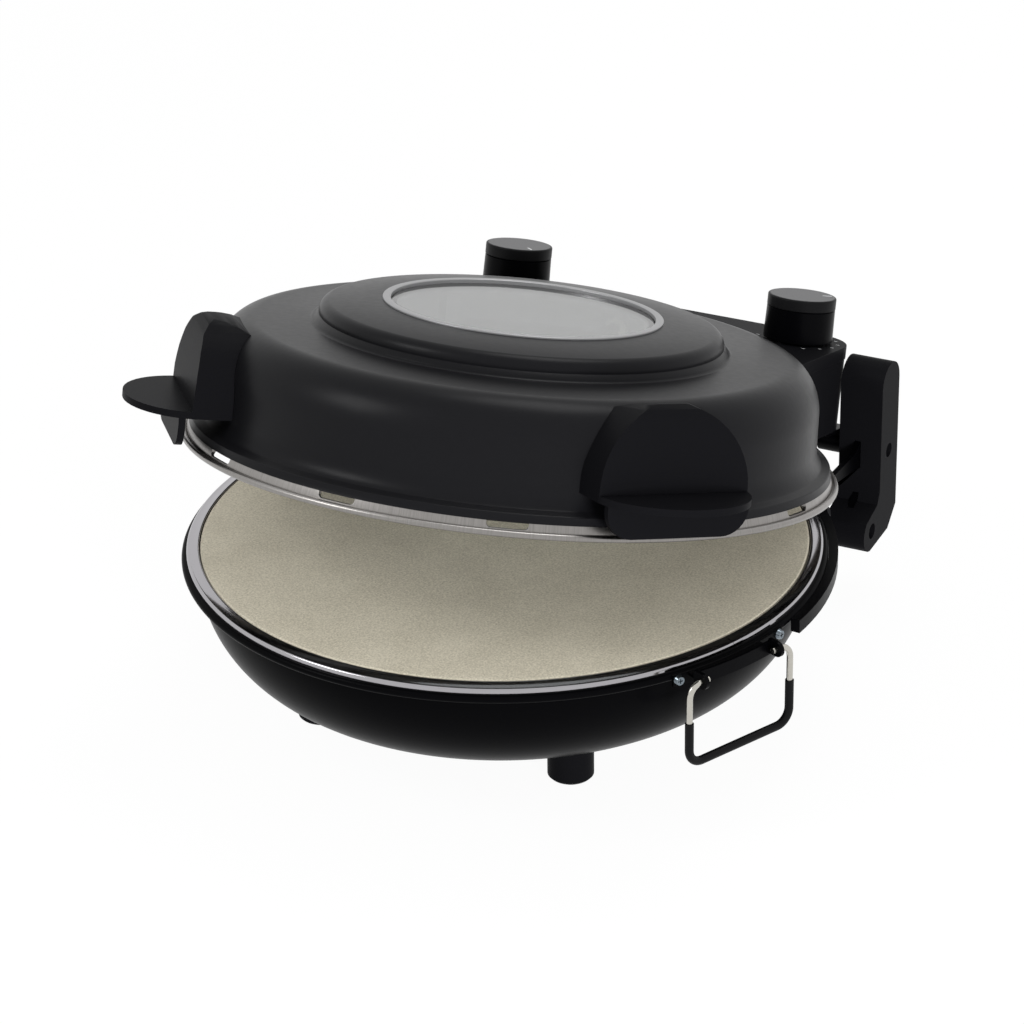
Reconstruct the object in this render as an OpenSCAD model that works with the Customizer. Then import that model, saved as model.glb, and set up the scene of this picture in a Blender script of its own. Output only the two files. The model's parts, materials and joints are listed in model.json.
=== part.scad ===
// Countertop pizza oven: a round pan with a baking stone under a domed, windowed lid.
// Lengths are millimetres. +Z is up and the front of the oven faces -Y. The origin lies on the
// table, under the middle of the whole appliance. The lid stands open, as in use.

/* [Baking stone] */
// Radius of the stone
stone_r = 155.4; // [140:0.1:170]
// Thickness of the stone
stone_t = 10; // [7:0.5:11]
// Width of the bevel round the stone's lower edge
stone_bevel = 2; // [1:0.5:3]
// How far the stone's face stands above the outer edge of the trim ring
stone_proud = 2.2; // [1:0.1:4]

/* [Pan] */
// Height of the trim ring's outer edge above the table
rim_height = 86; // [80:1:100]
// Step from the pan's wall out to the outside of its rolled rim
rim_step = 8.1; // [6:0.1:10]
// Radius of the curve from the pan's wall to its floor
pan_corner_r = 57; // [40:1:57]
// Thickness of the pan's pressed steel
pan_t = 1.2; // [0.8:0.1:1.5]
// Radius of the roll at the pan's rim
roll_r = 2.1; // [1.6:0.1:2.4]

/* [Trim ring] */
// Width of the ring across its sloping face
ring_w = 6.6; // [5:0.1:9]
// Thickness of the ring's pressed steel
ring_t = 0.8; // [0.6:0.1:1]
// Radius of the bead along the ring's outer edge
ring_bead_r = 1.3; // [1:0.1:1.5]
// How far the pan's rim stands out past the ring
rim_proud = 2.6; // [2:0.1:4]

/* [Feet] */
// Distance from the pan's wall in to the middle of a foot
foot_inset = 56.6; // [46:0.1:66]
// Radius of a foot
foot_r = 11.7; // [9:0.1:15]
// Radius of the rubber pad under a foot
foot_pad_r = 8.5; // [6:0.5:8.5]

/* [Lid] */
// Angle by which the lid stands open
open_angle = 13.67; // [8:0.01:20]
// Height from the closed lid's lowest edge to its window surround
lid_h = 77.2; // [72:0.1:84]
// How far the lid's upright wall lies inside the bright band
lid_wall_in = 9.7; // [8:0.1:14]
// Reach of the lid's rounded shoulder, measured inwards
shoulder_in = 20; // [12:1:26]
// Height of the lid's rounded shoulder
shoulder_h = 25; // [16:1:30]
// Height of the lid's shoulder above its lowest edge
lid_top_h = 62; // [58:1:66]
// Width of the lid's flat between its shoulder and the raised step round the window
lid_flat_w = 28.9; // [22:0.1:34]
// Thickness of the lid's pressed steel
lid_t = 1.2; // [0.8:0.1:1.5]
// Diameter of the bright bead along the lid's lower edge
lid_bead_d = 3.4; // [2.6:0.1:3.8]
// Thickness of the bright band under the lid
band_t = 0.9; // [0.7:0.1:1.2]
// Number of vent slots round the band
slot_count = 12; // [8:1:16]
// Width of a vent slot
slot_w = 20; // [12:1:26]

/* [Window] */
// Outer radius of the window's surround
bezel_r = 71; // [60:0.5:76]
// Width of the surround's bright face
bezel_w = 4.1; // [3:0.1:5]
// Thickness of the window's glass
glass_t = 4; // [3:0.5:4]
// How far the glass lies below the surround
glass_sunk = 2; // [1:0.1:2]

/* [Lid handles] */
// Angle of each handle from the front of the oven
handle_angle = 52.6; // [40:0.1:60]
// Half the width of a handle
handle_half_w = 40; // [30:1:44]
// Height of the arch above the handle's ledge
handle_arch_h = 45; // [36:1:45]
// How far the face of a handle stands out from the lid's wall
handle_stand = 14.5; // [12:0.1:18]
// How far a handle's ledge reaches past its face
handle_ledge = 29.6; // [24:0.1:34]
// Thickness of the handle's moulded walls
handle_t = 3; // [2.4:0.1:3.6]
// Depth of the guard that hangs below the ledge
handle_guard_h = 16.5; // [8:0.5:18]

/* [Hinge] */
// Distance from the pan's rim back to the hinge axis
hinge_back = 25.4; // [24:0.1:28]
// How far the hinge axis lies below the trim ring's outer edge
hinge_drop = 6; // [4:0.5:8]
// Radius of a hinge pin
pin_r = 4; // [3:0.5:5]
// Room between a side of the control housing and the hinge post beside it
post_room = 1; // [1:0.5:6]
// Width of a hinge post
post_w = 24; // [20:1:28]
// Thickness of a hinge post's moulded walls
post_t = 2.6; // [2:0.1:3.2]

/* [Control housing] */
// Half the width of the housing under its top panel
housing_half_w = 110; // [104:1:114]
// How far the housing reaches back past the hinge axis
housing_behind = 4.5; // [2:0.5:8]
// Height of the top panel above the lid's lowest edge
panel_h = 50; // [48:0.5:53]
// Depth of the top panel's edge
panel_edge = 7; // [5:0.5:9]
// Thickness of the housing's moulded walls
housing_t = 2.5; // [2:0.1:3]
// Radius of the housing's rear corners
housing_corner_r = 22; // [10:1:26]

/* [Knobs] */
// Distance of each knob from the side of the housing
knob_inset = 26; // [24:0.5:44]
// Distance of the knobs from the back of the housing
knob_front = 25.7; // [24:0.1:28]
// Radius of a knob
knob_r = 18.25; // [14:0.25:20]
// Height of a knob with its cap
knob_h = 23.8; // [18:0.1:26]
// Height of the knob's cap
cap_h = 6.2; // [4:0.1:8]
// Radius of a knob's spindle
spindle_r = 3; // [2.5:0.1:3.4]

/* [Side bails] */
// Angle from the front of the oven to the middle of a bail
bail_angle = 66.5; // [62:0.5:72]
// Half the width of a bail, between the middles of its legs
bail_half_w = 33; // [28:1:36]
// Depth of a bail from its pivot to the middle of its lower bar
bail_h = 43; // [34:1:48]
// Radius of the bail's wire
wire_r = 1.6; // [1.2:0.1:2]
// Radius of the bail's sleeve
sleeve_r = 2.2; // [2:0.1:2.8]
// Radius of the bends at the bail's lower corners
bail_bend_r = 8; // [6:0.5:10]

/* [Heating elements] */
// Radius of the upper element's loop
upper_loop_r = 112; // [90:1:118]
// Radius of the lower element's loop
lower_loop_r = 105; // [80:1:112]
// Radius of the elements' metal tube
element_r = 3.25; // [3:0.05:3.6]

/* [Hidden] */
$fn = 96;

// Clearances that every joint and seat shares
seat_gap = 0.3;     // between a loose piece and what carries it
run_gap = 0.05;     // round a shaft that turns in its bore
fix_gap = 0.1;      // between pieces that are fixed together on curved faces
stone_gap = 0.5;    // round the edge of the stone
lid_gap = 0.6;      // between the closed lid's band and the trim ring
wall_gap = 0.7;     // between the moving lid and the hinge posts
hole_gap = 0.2;     // round a screw in its hole

// Pan, ring and stone
ring_in_r = stone_r + stone_gap;
ring_r = ring_in_r + ring_w;
rim_r = ring_r + rim_proud;
pan_r = rim_r - rim_step;
ring_seat = 1.7;
flange_z = rim_height - ring_seat;
pan_fillet = 1.5;
pan_wall_top = flange_z - pan_t - pan_fillet;
pan_floor_z = rim_height - 8 - pan_corner_r;
pan_flat_r = pan_r - pan_corner_r;
stone_top = rim_height + stone_proud;
stone_bottom = stone_top - stone_t;
foot_offset = (pan_r - foot_inset) / sqrt(2);
foot_clear = 1;
pad_seat = 3;
foot_seat = 7;

// Lid, in its own frame: height 0 is the closed lid's lowest edge
lid_seat_drop = 1.4;
closed_z = rim_height - lid_seat_drop;
hinge_z = rim_height - hinge_drop;
band_in_r = ring_r + lid_gap;
band_r = band_in_r + band_t;
bead_r = lid_bead_d / 2;
bead_centre_r = band_r + bead_r;
lid_wall_r = band_r - lid_wall_in;
rim_edge_r = band_r - 0.9;
rim_edge_h = 6.9;
crease_r = lid_wall_r + 1.7;
crease_h = 13.2;
wall_top_r = lid_wall_r - 0.7;
shoulder_r = wall_top_r - shoulder_in;
step_r = shoulder_r - lid_flat_w;
step_h = lid_top_h + 0.7;
land_h = lid_h - 1;
neck_r = bezel_r - 3;
neck_in_r = bezel_r - bezel_w;
window_fit = 0.2;
glass_r = neck_in_r - window_fit;
glass_top = lid_h - glass_sunk;
gasket_t = 1;
gasket_bottom = glass_top - glass_t - gasket_t;
retainer_t = 1.4;
liner_t = 0.8;
liner_gap = 3.8;
liner_drop = 4;
slot_phase = -4.5;
slot_low_h = 3.7;
slot_h = 4.7;
slot_corner_r = 2;

// Lid handles
handle_face_r = lid_wall_r + handle_stand;
handle_tip_r = handle_face_r + handle_ledge;
ledge_h = 21;
ledge_t = 3.5;
// Outline of a handle's hood, as depth behind its face and share of its height
hood_outline = [[0, 0], [0.4, 0.23], [1.6, 0.46], [3.3, 0.69], [5.3, 0.86], [8.5, 0.94],
    [11.9, 0.98], [17.9, 0.96], [23.9, 0.92], [29.9, 0.86], [42, 0.74], [42, 0]];
hood_side_h = 5;      // straight sides below the arch
guard_in = 27;        // guard's front behind the tip of the ledge
guard_corner = 14;
handle_screw_t = 22;
handle_screw_h = 33;

// Heating elements
upper_element_h = 40;
lower_element_z = 66;
leg_x = 11;
joint_proud = 0.7;
upper_leg_y = lid_wall_r + 17.7;
lower_leg_y = pan_r + 14;
bushing_r = 5.5;
clip_w = 8;
clip_t = 2.2;

// Control housing and knobs
hinge_y = rim_r + hinge_back;
housing_back = hinge_y + housing_behind;
post_in_x = housing_half_w + post_room;
housing_low_h = 6;
housing_base_t = 2;
housing_front_y = sqrt(pow(lid_wall_r, 2) - pow(housing_half_w, 2)) - 9;
housing_screw_x = 40;
housing_screw_h = 26;
arm_screw_x = housing_half_w - 9;
arm_screw_y = [housing_back - 25, housing_back - 15];
panel_t = 3;
panel_half_w = post_in_x - wall_gap;
panel_low_h = panel_h - panel_edge;
knob_x = housing_half_w - knob_inset;
knob_y = housing_back - knob_front;
knob_lift = 0.8;
knob_low_h = panel_h + knob_lift;
knob_top_h = knob_low_h + knob_h;
knob_wall = 2;
knob_hub_r = spindle_r + 2.6;
gland_r = 7;
control_r = 15;
control_h = 17;
neck_h = 3.2;
nut_h = 2.4;

// Hinge
barrel_r = pin_r + 2.5;
barrel_in_x = housing_half_w - 14;
barrel_out_x = post_in_x - wall_gap;
pin_in_x = barrel_in_x + 3;
post_out_x = post_in_x + post_w;
pin_out_x = post_out_x - 5;
yoke_w = 5;
yoke_top_z = flange_z - 1.3;
yoke_bottom_z = yoke_top_z - 7;
rim_screw_z = flange_z - roll_r - 0.9;
yoke_plate_t = 3;
yoke_plate_x = post_in_x + 9;
yoke_first = 85;
yoke_last = 180 + asin((yoke_plate_x + yoke_plate_t) / rim_r);
yoke_screw_angles = [128, 168, 218];
post_front = 11.5;
post_screw_back = 27.5;
post_screw_drop = 41;

// Bails and their brackets
bail_pivot_r = rim_r + 11.4;
bail_pivot_z = rim_height - 2;
ear_half = 25.5;
ear_t = 2;
ear_r = 4;
bracket_t = 1.5;
bracket_in_r = rim_r + 0.2;
bracket_out_r = bail_pivot_r - 3;
bracket_first = -11;
bracket_last = 14.5;
bracket_screw_first = -10;
bracket_screw_last = 13.5;
sleeve_top = 20;
bail_top_bend_r = 7;

// The whole oven is set so that its box is centred over the origin
rear_reach = hinge_y + (housing_back - hinge_y) * cos(open_angle)
    + (closed_z - hinge_z + panel_h) * sin(open_angle);
axis_y = (rim_r - rear_reach) / 2;

// ---------- Helpers ----------

// Points along a circular arc about c, from angle a0 to a1
function arc(c, r, a0, a1, n = 8) =
    [for (i = [0 : n]) let (a = a0 + (a1 - a0) * i / n) [c[0] + r * cos(a), c[1] + r * sin(a)]];

// Points along part of an ellipse about c with half axes a and b
function ellipse(c, a, b, a0, a1, n = 12) =
    [for (i = [0 : n]) let (t = a0 + (a1 - a0) * i / n) [c[0] + a * cos(t), c[1] + b * sin(t)]];

// Unit vector to the left of an outline at its point i
function left_of(p, i) =
    let (d = p[min(i + 1, len(p) - 1)] - p[max(i - 1, 0)]) [-d[1], d[0]] / norm(d);

// A closed outline, drawn anticlockwise, grown outwards by d
function grown(points, d) =
    let (n = len(points))
    [for (i = [0 : n - 1])
        let (a = points[i] - points[(i + n - 1) % n], b = points[(i + 1) % n] - points[i],
             u = [a[1], -a[0]] / norm(a), v = [b[1], -b[0]] / norm(b))
        points[i] + d * (u + v) / (1 + u * v)];

// A closed strip of thickness t on the left of an outline
function sheet(p, t) = concat(p, [for (i = [len(p) - 1 : -1 : 0]) p[i] + t * left_of(p, i)]);

// Moves an outline to its left by t
function shifted(p, t) = [for (i = [0 : len(p) - 1]) p[i] + t * left_of(p, i)];

// Places pieces that are drawn about the pan's axis
module at_axis() {
    translate([0, axis_y, 0]) children();
}

// Places pieces that are drawn in the closed lid's frame, with the lid turned open
module on_lid() {
    at_axis()
        translate([0, hinge_y, hinge_z])
            rotate([-open_angle, 0, 0])
                translate([0, -hinge_y, closed_z - hinge_z])
                    children();
}

// Turns what is drawn at the front (-Y) round to an angle from the front
module turned(angle) {
    rotate([0, 0, angle]) children();
}

// Lays what is drawn along +Z outwards from the axis, at the front
module outwards() {
    rotate([90, 0, 0]) children();
}

// A sheet-metal ring spun from an outline of [radius, height] points
module spun(points) {
    rotate_extrude() polygon(points);
}

// A plate in the YZ plane, from x along +X
module side_plate(points, x, thickness) {
    translate([x, 0, 0]) rotate([90, 0, 90]) linear_extrude(thickness) polygon(points);
}

// A pan-head screw whose head seats at height 0 and whose shank runs down
module screw(shank_r, shank_l, head_r, head_h) {
    difference() {
        union() {
            translate([0, 0, -shank_l]) cylinder(r = shank_r, h = shank_l + head_h / 2);
            cylinder(r1 = head_r, r2 = head_r * 0.8, h = head_h);
        }
        for (a = [0, 90])
            rotate([0, 0, a])
                translate([-head_r / 2, -0.3, head_h * 0.55])
                    cube([head_r, 0.6, head_h]);
    }
}

// A metal tube in a loop that stays open at the rear, with a ball joint and a leg at each end
module element(loop_r, leg_end) {
    turn = acos(leg_x / loop_r);
    joint_y = loop_r * sin(turn);
    rotate([0, 0, 180 - turn])
        rotate_extrude(angle = 180 + 2 * turn)
            translate([loop_r, 0]) circle(r = element_r, $fn = 24);
    for (s = [-1, 1])
        translate([s * leg_x, joint_y, 0]) {
            sphere(r = element_r + joint_proud, $fn = 32);
            rotate([-90, 0, 0]) cylinder(r = element_r, h = leg_end - joint_y, $fn = 24);
        }
}

// Clips that hold an element's loop on posts, from height low to height high
module element_clips(loop_r, height, low, high) {
    depth = 2 * (element_r + clip_t);
    for (a = [45, 135, 225, 315])
        turned(a)
            difference() {
                translate([-clip_w / 2, -loop_r - depth / 2, low]) cube([clip_w, depth, high - low]);
                rotate([0, 0, -a])
                    translate([0, 0, height])
                        rotate_extrude() translate([loop_r, 0])
                            circle(r = element_r + fix_gap, $fn = 24);
            }
}

// Ceramic bushings round an element's two legs, where they pass through a wall
module element_bushings(height, start, length) {
    for (s = [-1, 1])
        translate([s * leg_x, start, height])
            rotate([-90, 0, 0])
                difference() {
                    cylinder(r = bushing_r, h = length);
                    translate([0, 0, -1]) cylinder(r = element_r + fix_gap, h = length + 2);
                }
}

// Holes for an element's two bushings through the walls at the rear
module bushing_holes(height) {
    for (s = [-1, 1])
        translate([s * leg_x, stone_r - 22, height])
            rotate([-90, 0, 0]) cylinder(r = bushing_r + fix_gap, h = 40);
}

// ---------- Outlines of the spun pieces ----------

// Outside of the pan, from its middle out to the flange
pan_outline = concat(
    [[0, pan_floor_z]],
    arc([pan_flat_r, pan_floor_z + pan_corner_r], pan_corner_r, -90, 0, 16),
    [[pan_r, pan_wall_top]],
    arc([pan_r + pan_fillet, pan_wall_top], pan_fillet, 180, 90, 4),
    [[rim_r - roll_r, flange_z - pan_t]]);

// Rolled edge at the end of the pan's flange
pan_roll = arc([rim_r - roll_r, flange_z - roll_r], roll_r, 180 - asin(1 - pan_t / roll_r), 450, 16);

// Outside of the lid's shell, from its lower edge up to the window
lid_outline = concat(
    [[rim_edge_r, rim_edge_h], [rim_edge_r - 0.9, rim_edge_h + 1.9]],
    [[crease_r + 3.2, crease_h - 2.2], [crease_r, crease_h], [lid_wall_r + 0.6, crease_h + 2.3]],
    [[lid_wall_r, crease_h + 5.8]],
    ellipse([shoulder_r, lid_top_h - shoulder_h], shoulder_in, shoulder_h, 0, 90, 16),
    [[step_r + 2, step_h], [step_r - 0.5, step_h + 1.2], [step_r - 1.8, step_h + 4]],
    arc([step_r - 8.4, step_h + 5], 5.6, 15, 75, 5),
    [[bezel_r + 0.6, land_h], [neck_r + fix_gap, land_h]]);

// Point i of the lid's outline, moved inwards by d
function inside_lid(i, d) = lid_outline[i] + d * left_of(lid_outline, i);

// Outside of the band, from the closed lid's lowest edge up along the inside of the shell
band_outline = [[band_r, 0.6], [band_r, 3], [band_r - 2.7, rim_edge_h - 0.3],
    inside_lid(1, lid_t + fix_gap), inside_lid(2, lid_t + fix_gap)];

// Outside of the lid's inner liner, from its foot inside the band up to the window
liner_outline = concat(
    [inside_lid(2, lid_t + band_t + 2 * fix_gap), [lid_wall_r - 1.5, crease_h - 0.6]],
    [[lid_wall_r - lid_t - liner_gap, crease_h + 4.3]],
    ellipse([shoulder_r, lid_top_h - shoulder_h - liner_drop], shoulder_in - lid_t - liner_gap + 0.7,
        shoulder_h - lid_t, 0, 90, 10),
    [[step_r - 2, step_h - 4.6], [step_r - 8, step_h + 3], [step_r - 11, gasket_bottom]],
    [[glass_r - 3, gasket_bottom]]);

// ---------- Base ----------

module base_pan() {
    inside = shifted(pan_outline, pan_t);
    color("#101012") at_axis()
        difference() {
            spun(concat([for (i = [0 : len(pan_outline) - 2]) pan_outline[i]], pan_roll,
                [for (i = [len(inside) - 2 : -1 : 0]) inside[i]]));
            for (x = [-1, 1], y = [-1, 1])
                translate([x * foot_offset, y * foot_offset, 0])
                    cylinder(r = 2 + hole_gap, h = rim_height / 2);
            bracket_screw_places() cylinder(r = 1.5 + hole_gap, h = 14, center = true);
            yoke_screw_places() cylinder(r = 1.5 + hole_gap, h = 24, center = true);
            bushing_holes(lower_element_z);
        }
}

module trim_ring() {
    outline = concat(
        [[ring_r, flange_z]],
        arc([ring_r - ring_bead_r, rim_height - 0.1], ring_bead_r, 0, 110, 6),
        [[ring_in_r + 1.4, stone_top], [ring_in_r + 0.5, stone_top + 0.1], [ring_in_r, stone_top - 0.4]],
        [[ring_in_r, flange_z]]);
    color("#d0d0d2") at_axis() spun(sheet(outline, ring_t));
}

module lower_reflector() {
    rise = 22;
    low = pan_floor_z + 24;
    outer = pan_flat_r - seat_gap
        + sqrt(pow(pan_corner_r - pan_t, 2) - pow(pan_floor_z + pan_corner_r - low - rise, 2));
    outline = concat([[0, low], [lower_loop_r - 15, low]],
        [[lower_loop_r + 10, low + 3], [outer - 15.5, low + rise - 4]],
        [[outer - 4, low + rise], [outer, low + rise]]);
    color("#a9abad") at_axis()
        difference() {
            spun(sheet(outline, liner_t));
            bushing_holes(lower_element_z);
        }
}

module lower_element() {
    color("#3a3a3c") at_axis() translate([0, 0, lower_element_z]) element(lower_loop_r, lower_leg_y);
}

module lower_element_clips() {
    floor_z = pan_floor_z + 24 + liner_t + 2.7;
    color("#8c8e90") at_axis()
        element_clips(lower_loop_r, lower_element_z, floor_z, lower_element_z + element_r);
}

module lower_bushings() {
    color("#e6e0d2") at_axis() element_bushings(lower_element_z, pan_r - 7, 11);
}

// Everything inside the pan's outer surface, grown outwards by a clearance
module pan_solid(grow) {
    spun(concat(shifted(pan_outline, -grow), [[0, rim_height]]));
}

// Cover over the lower element's terminals, behind the pan
module terminal_cover() {
    half = 30;
    deep = 20;
    wall = 2;
    low = lower_element_z - 13;
    high = lower_element_z + 9;
    color("#141416") at_axis()
        difference() {
            translate([-half, pan_r - 20, low]) cube([2 * half, deep + 20, high - low]);
            translate([-half + wall, pan_r - 22, low + wall])
                cube([2 * (half - wall), deep + 22 - wall, high - low - 2 * wall]);
            pan_solid(fix_gap);
        }
}

// Brackets inside the pan that carry the stone
module stone_supports() {
    wide = 16;
    reach = 14;
    outer = pan_r - pan_t - seat_gap;
    shelf = 1.5;
    top = stone_bottom - seat_gap;
    low = top - shelf - 2.4;
    color("#8c8e90") at_axis()
        for (a = [45, 135, 225, 315])
            turned(a)
                intersection() {
                    translate([-wide / 2, 0, 0])
                        side_plate([[-outer - 3, low], [-outer + 2, low], [-outer + 2, top - shelf],
                            [-outer + reach, top - shelf], [-outer + reach, top], [-outer - 3, top]],
                            0, wide);
                    translate([0, 0, low - 1]) cylinder(r = outer, h = 30, $fn = 360);
                }
}

// One foot: a moulded cylinder that fits up to the pan's curved floor
module foot(x, y) {
    color("#0e0e10") at_axis()
        translate([x * foot_offset, y * foot_offset, 0])
            difference() {
                union() {
                    translate([0, 0, foot_clear + 1.5]) cylinder(r = foot_r, h = rim_height / 2);
                    translate([0, 0, foot_clear]) cylinder(r1 = foot_r - 1.5, r2 = foot_r, h = 1.5);
                }
                translate([-x * foot_offset, -y * foot_offset, 0]) pan_solid(fix_gap);
                translate([0, 0, -1]) cylinder(r = foot_pad_r + fix_gap, h = pad_seat + 1);
                translate([0, 0, -1]) cylinder(r = 4, h = foot_seat + 1);
                cylinder(r = 2 + hole_gap, h = rim_height);
            }
}

module foot_front_right() {
    foot(1, -1);
}

module foot_front_left() {
    foot(-1, -1);
}

module foot_rear_right() {
    foot(1, 1);
}

module foot_rear_left() {
    foot(-1, 1);
}

module foot_pads() {
    color("#1c1c1e") at_axis()
        for (x = [-1, 1], y = [-1, 1])
            translate([x * foot_offset, y * foot_offset, 0])
                cylinder(r = foot_pad_r, h = pad_seat - 0.1);
}

// Screws that hold each foot to the pan, with their nuts above the pan's floor
module foot_screws() {
    low = foot_seat - fix_gap;
    color("#b9bbbd") at_axis()
        for (x = [-1, 1], y = [-1, 1])
            translate([x * foot_offset, y * foot_offset, low]) {
                mirror([0, 0, 1]) screw(2, 1, 3.6, 2);
                cylinder(r = 2, h = pan_floor_z + 7 - low);
                translate([0, 0, pan_floor_z + pan_t + 1.4 - low]) cylinder(r = 4, h = 3, $fn = 6);
            }
}

// ---------- Side bails ----------

// Angle of a bail from the front: the two hang at opposite ends of one diameter
function bail_place(s) = s < 0 ? bail_angle + 180 : bail_angle;

// Bracket that is screwed to the rim and carries a bail in two ears
module bail_bracket(s) {
    web_low = flange_z - 6.3;
    shelf_top = flange_z - 0.3;
    lip_low = shelf_top - 4.6;
    lip_top = rim_height + 0.6;
    sweep = bracket_last - bracket_first;
    web = [[bracket_in_r, web_low], [bracket_in_r + bracket_t, web_low],
        [bracket_in_r + bracket_t, shelf_top], [bracket_in_r, shelf_top]];
    shelf = [[bracket_in_r + bracket_t / 2, shelf_top - bracket_t], [bracket_out_r - bracket_t, shelf_top - bracket_t],
        [bracket_out_r - bracket_t, lip_low], [bracket_out_r, lip_low], [bracket_out_r, lip_top],
        [bracket_out_r - bracket_t, lip_top], [bracket_out_r - bracket_t, shelf_top - 0.1],
        [bracket_in_r + bracket_t / 2, shelf_top - 0.1]];
    ear_angle = asin((ear_half - ear_t / 2) / bracket_out_r);
    color("#0d0d0f") at_axis()
        turned(bail_place(s))
            difference() {
                union() {
                    turned(-90 + bracket_first) rotate_extrude(angle = sweep) polygon(web);
                    turned(-90 - ear_angle) rotate_extrude(angle = 2 * ear_angle) polygon(shelf);
                    for (e = [-1, 1])
                        translate([e * (ear_half - ear_t / 2) - ear_t / 2, 0, 0]) {
                            translate([0, -bail_pivot_r, bail_pivot_z])
                                rotate([0, 90, 0]) cylinder(r = ear_r, h = ear_t);
                            translate([0, -bail_pivot_r, bail_pivot_z - ear_r])
                                cube([ear_t, bail_pivot_r - bracket_out_r + 2.5, 2 * ear_r]);
                        }
                }
                translate([-ear_half - 5, -bail_pivot_r, bail_pivot_z])
                    rotate([0, 90, 0]) cylinder(r = wire_r + run_gap, h = 2 * ear_half + 10);
                turned(-bail_place(s))
                    bracket_screw_places() cylinder(r = 1.5 + hole_gap, h = 14, center = true);
            }
}

// Places of the screws that hold both brackets to the pan's rim
module bracket_screw_places() {
    for (s = [-1, 1], a = [bracket_screw_first, bracket_screw_last])
        turned(bail_place(s) + a)
            translate([0, -bracket_in_r - bracket_t, rim_screw_z])
                outwards() children();
}

module bail_bracket_right() {
    bail_bracket(1);
}

module bail_bracket_left() {
    bail_bracket(-1);
}

module bracket_screws() {
    color("#c4c8cc") at_axis() bracket_screw_places() screw(1.5, 8, 2.7, 1.8);
}

// A bail's legs, bends and lower bar, hanging from its pivot; r is the radius of the wire
module bail_loop(r, top) {
    leg = bail_h - bail_bend_r;
    for (e = [-1, 1])
        mirror([e < 0 ? 1 : 0, 0, 0]) {
            translate([bail_half_w, 0, -leg]) cylinder(r = r, h = leg - top, $fn = 32);
            translate([bail_half_w - bail_bend_r, 0, -leg])
                rotate([90, 0, 0])
                    rotate([0, 0, -90])
                        rotate_extrude(angle = 90) translate([bail_bend_r, 0]) circle(r = r, $fn = 32);
            translate([0, 0, -bail_h])
                rotate([0, 90, 0]) cylinder(r = r, h = bail_half_w - bail_bend_r, $fn = 32);
        }
}

// Places a bail at its pivot on one side
module at_bail(s) {
    at_axis()
        turned(bail_place(s))
            translate([0, -bail_pivot_r, bail_pivot_z])
                children();
}

module bail_wire(s) {
    color("#c9cbcd") at_bail(s) {
        bail_loop(wire_r, bail_top_bend_r);
        for (e = [-1, 1])
            mirror([e < 0 ? 1 : 0, 0, 0]) {
                translate([bail_half_w - bail_top_bend_r, 0, -bail_top_bend_r])
                    rotate([90, 0, 0])
                        rotate_extrude(angle = 90)
                            translate([bail_top_bend_r, 0]) circle(r = wire_r, $fn = 32);
                translate([ear_half - ear_t - 2.5, 0, 0])
                    rotate([0, 90, 0])
                        cylinder(r = wire_r, h = bail_half_w - bail_top_bend_r - ear_half + ear_t + 2.5,
                            $fn = 32);
            }
    }
}

module bail_sleeve(s) {
    color("#131315") at_bail(s)
        difference() {
            bail_loop(sleeve_r, sleeve_top);
            bail_loop(wire_r + run_gap, sleeve_top - 1);
        }
}

module bail_wire_right() {
    bail_wire(1);
}

module bail_wire_left() {
    bail_wire(-1);
}

module bail_sleeve_right() {
    bail_sleeve(1);
}

module bail_sleeve_left() {
    bail_sleeve(-1);
}

// ---------- Hinge on the base ----------

// Places of the screws that hold the yoke to the pan's rim
module yoke_screw_places() {
    for (a = yoke_screw_angles)
        turned(a)
            translate([0, -rim_r - yoke_w, rim_screw_z])
                outwards() children();
}

// Outline of a hinge post, seen from the side
function post_outline(inset) =
    let (front = hinge_y - post_front, back = hinge_y + post_front + 1, top = rim_height + 33,
         low = hinge_z - post_screw_drop)
    concat(
        arc([(front + back) / 2, top], (back - front) / 2 - inset, 0, 180, 14),
        [[front + inset, low + 21], [front - 3 + inset, low + 14.5]],
        arc([hinge_y - post_screw_back + 5, low + 1.5], 10.5 - inset, 130, 262, 8),
        [[back - 11, low - 6.5 + inset], [back - inset, low + 4]]);

// Plate of the rear yoke that reaches back into a hinge post
function yoke_arm_outline() =
    let (low = hinge_z - post_screw_drop, tip = hinge_y + post_front - 3.5,
         start = sqrt(pow(rim_r, 2) - pow(yoke_plate_x + yoke_plate_t, 2)) - 5)
    [[start, yoke_bottom_z], [hinge_y - 10, yoke_bottom_z - 4],
     [hinge_y - post_front + 3.5, low + 22], [hinge_y - post_screw_back + 1, low + 7],
     [hinge_y - post_screw_back + 1, low - 3], [hinge_y - 8, low - 3],
     [tip, low + 12], [tip, hinge_z + 9], [hinge_y - post_front + 3.5, hinge_z + 9],
     [hinge_y - post_front - 8, yoke_top_z], [start, yoke_top_z]];

module rear_yoke() {
    strap = [[rim_r + fix_gap, yoke_bottom_z], [rim_r + yoke_w, yoke_bottom_z],
        [rim_r + yoke_w, yoke_top_z], [rim_r + fix_gap, yoke_top_z]];
    color("#0f0f11") at_axis()
        difference() {
            union() {
                turned(yoke_first - 90) rotate_extrude(angle = yoke_last - yoke_first) polygon(strap);
                for (s = [-1, 1])
                    mirror([s < 0 ? 1 : 0, 0, 0])
                        side_plate(yoke_arm_outline(), yoke_plate_x, yoke_plate_t);
            }
            translate([0, 0, yoke_bottom_z - 60]) cylinder(r = rim_r + fix_gap, h = 120);
            translate([-200, hinge_y, hinge_z])
                rotate([0, 90, 0]) cylinder(r = pin_r + fix_gap, h = 400);
            translate([-200, hinge_y - post_screw_back + 6, hinge_z - post_screw_drop + 2])
                rotate([0, 90, 0]) cylinder(r = 1.7, h = 400);
            yoke_screw_places() cylinder(r = 1.5 + hole_gap, h = 14, center = true);
        }
}

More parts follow.
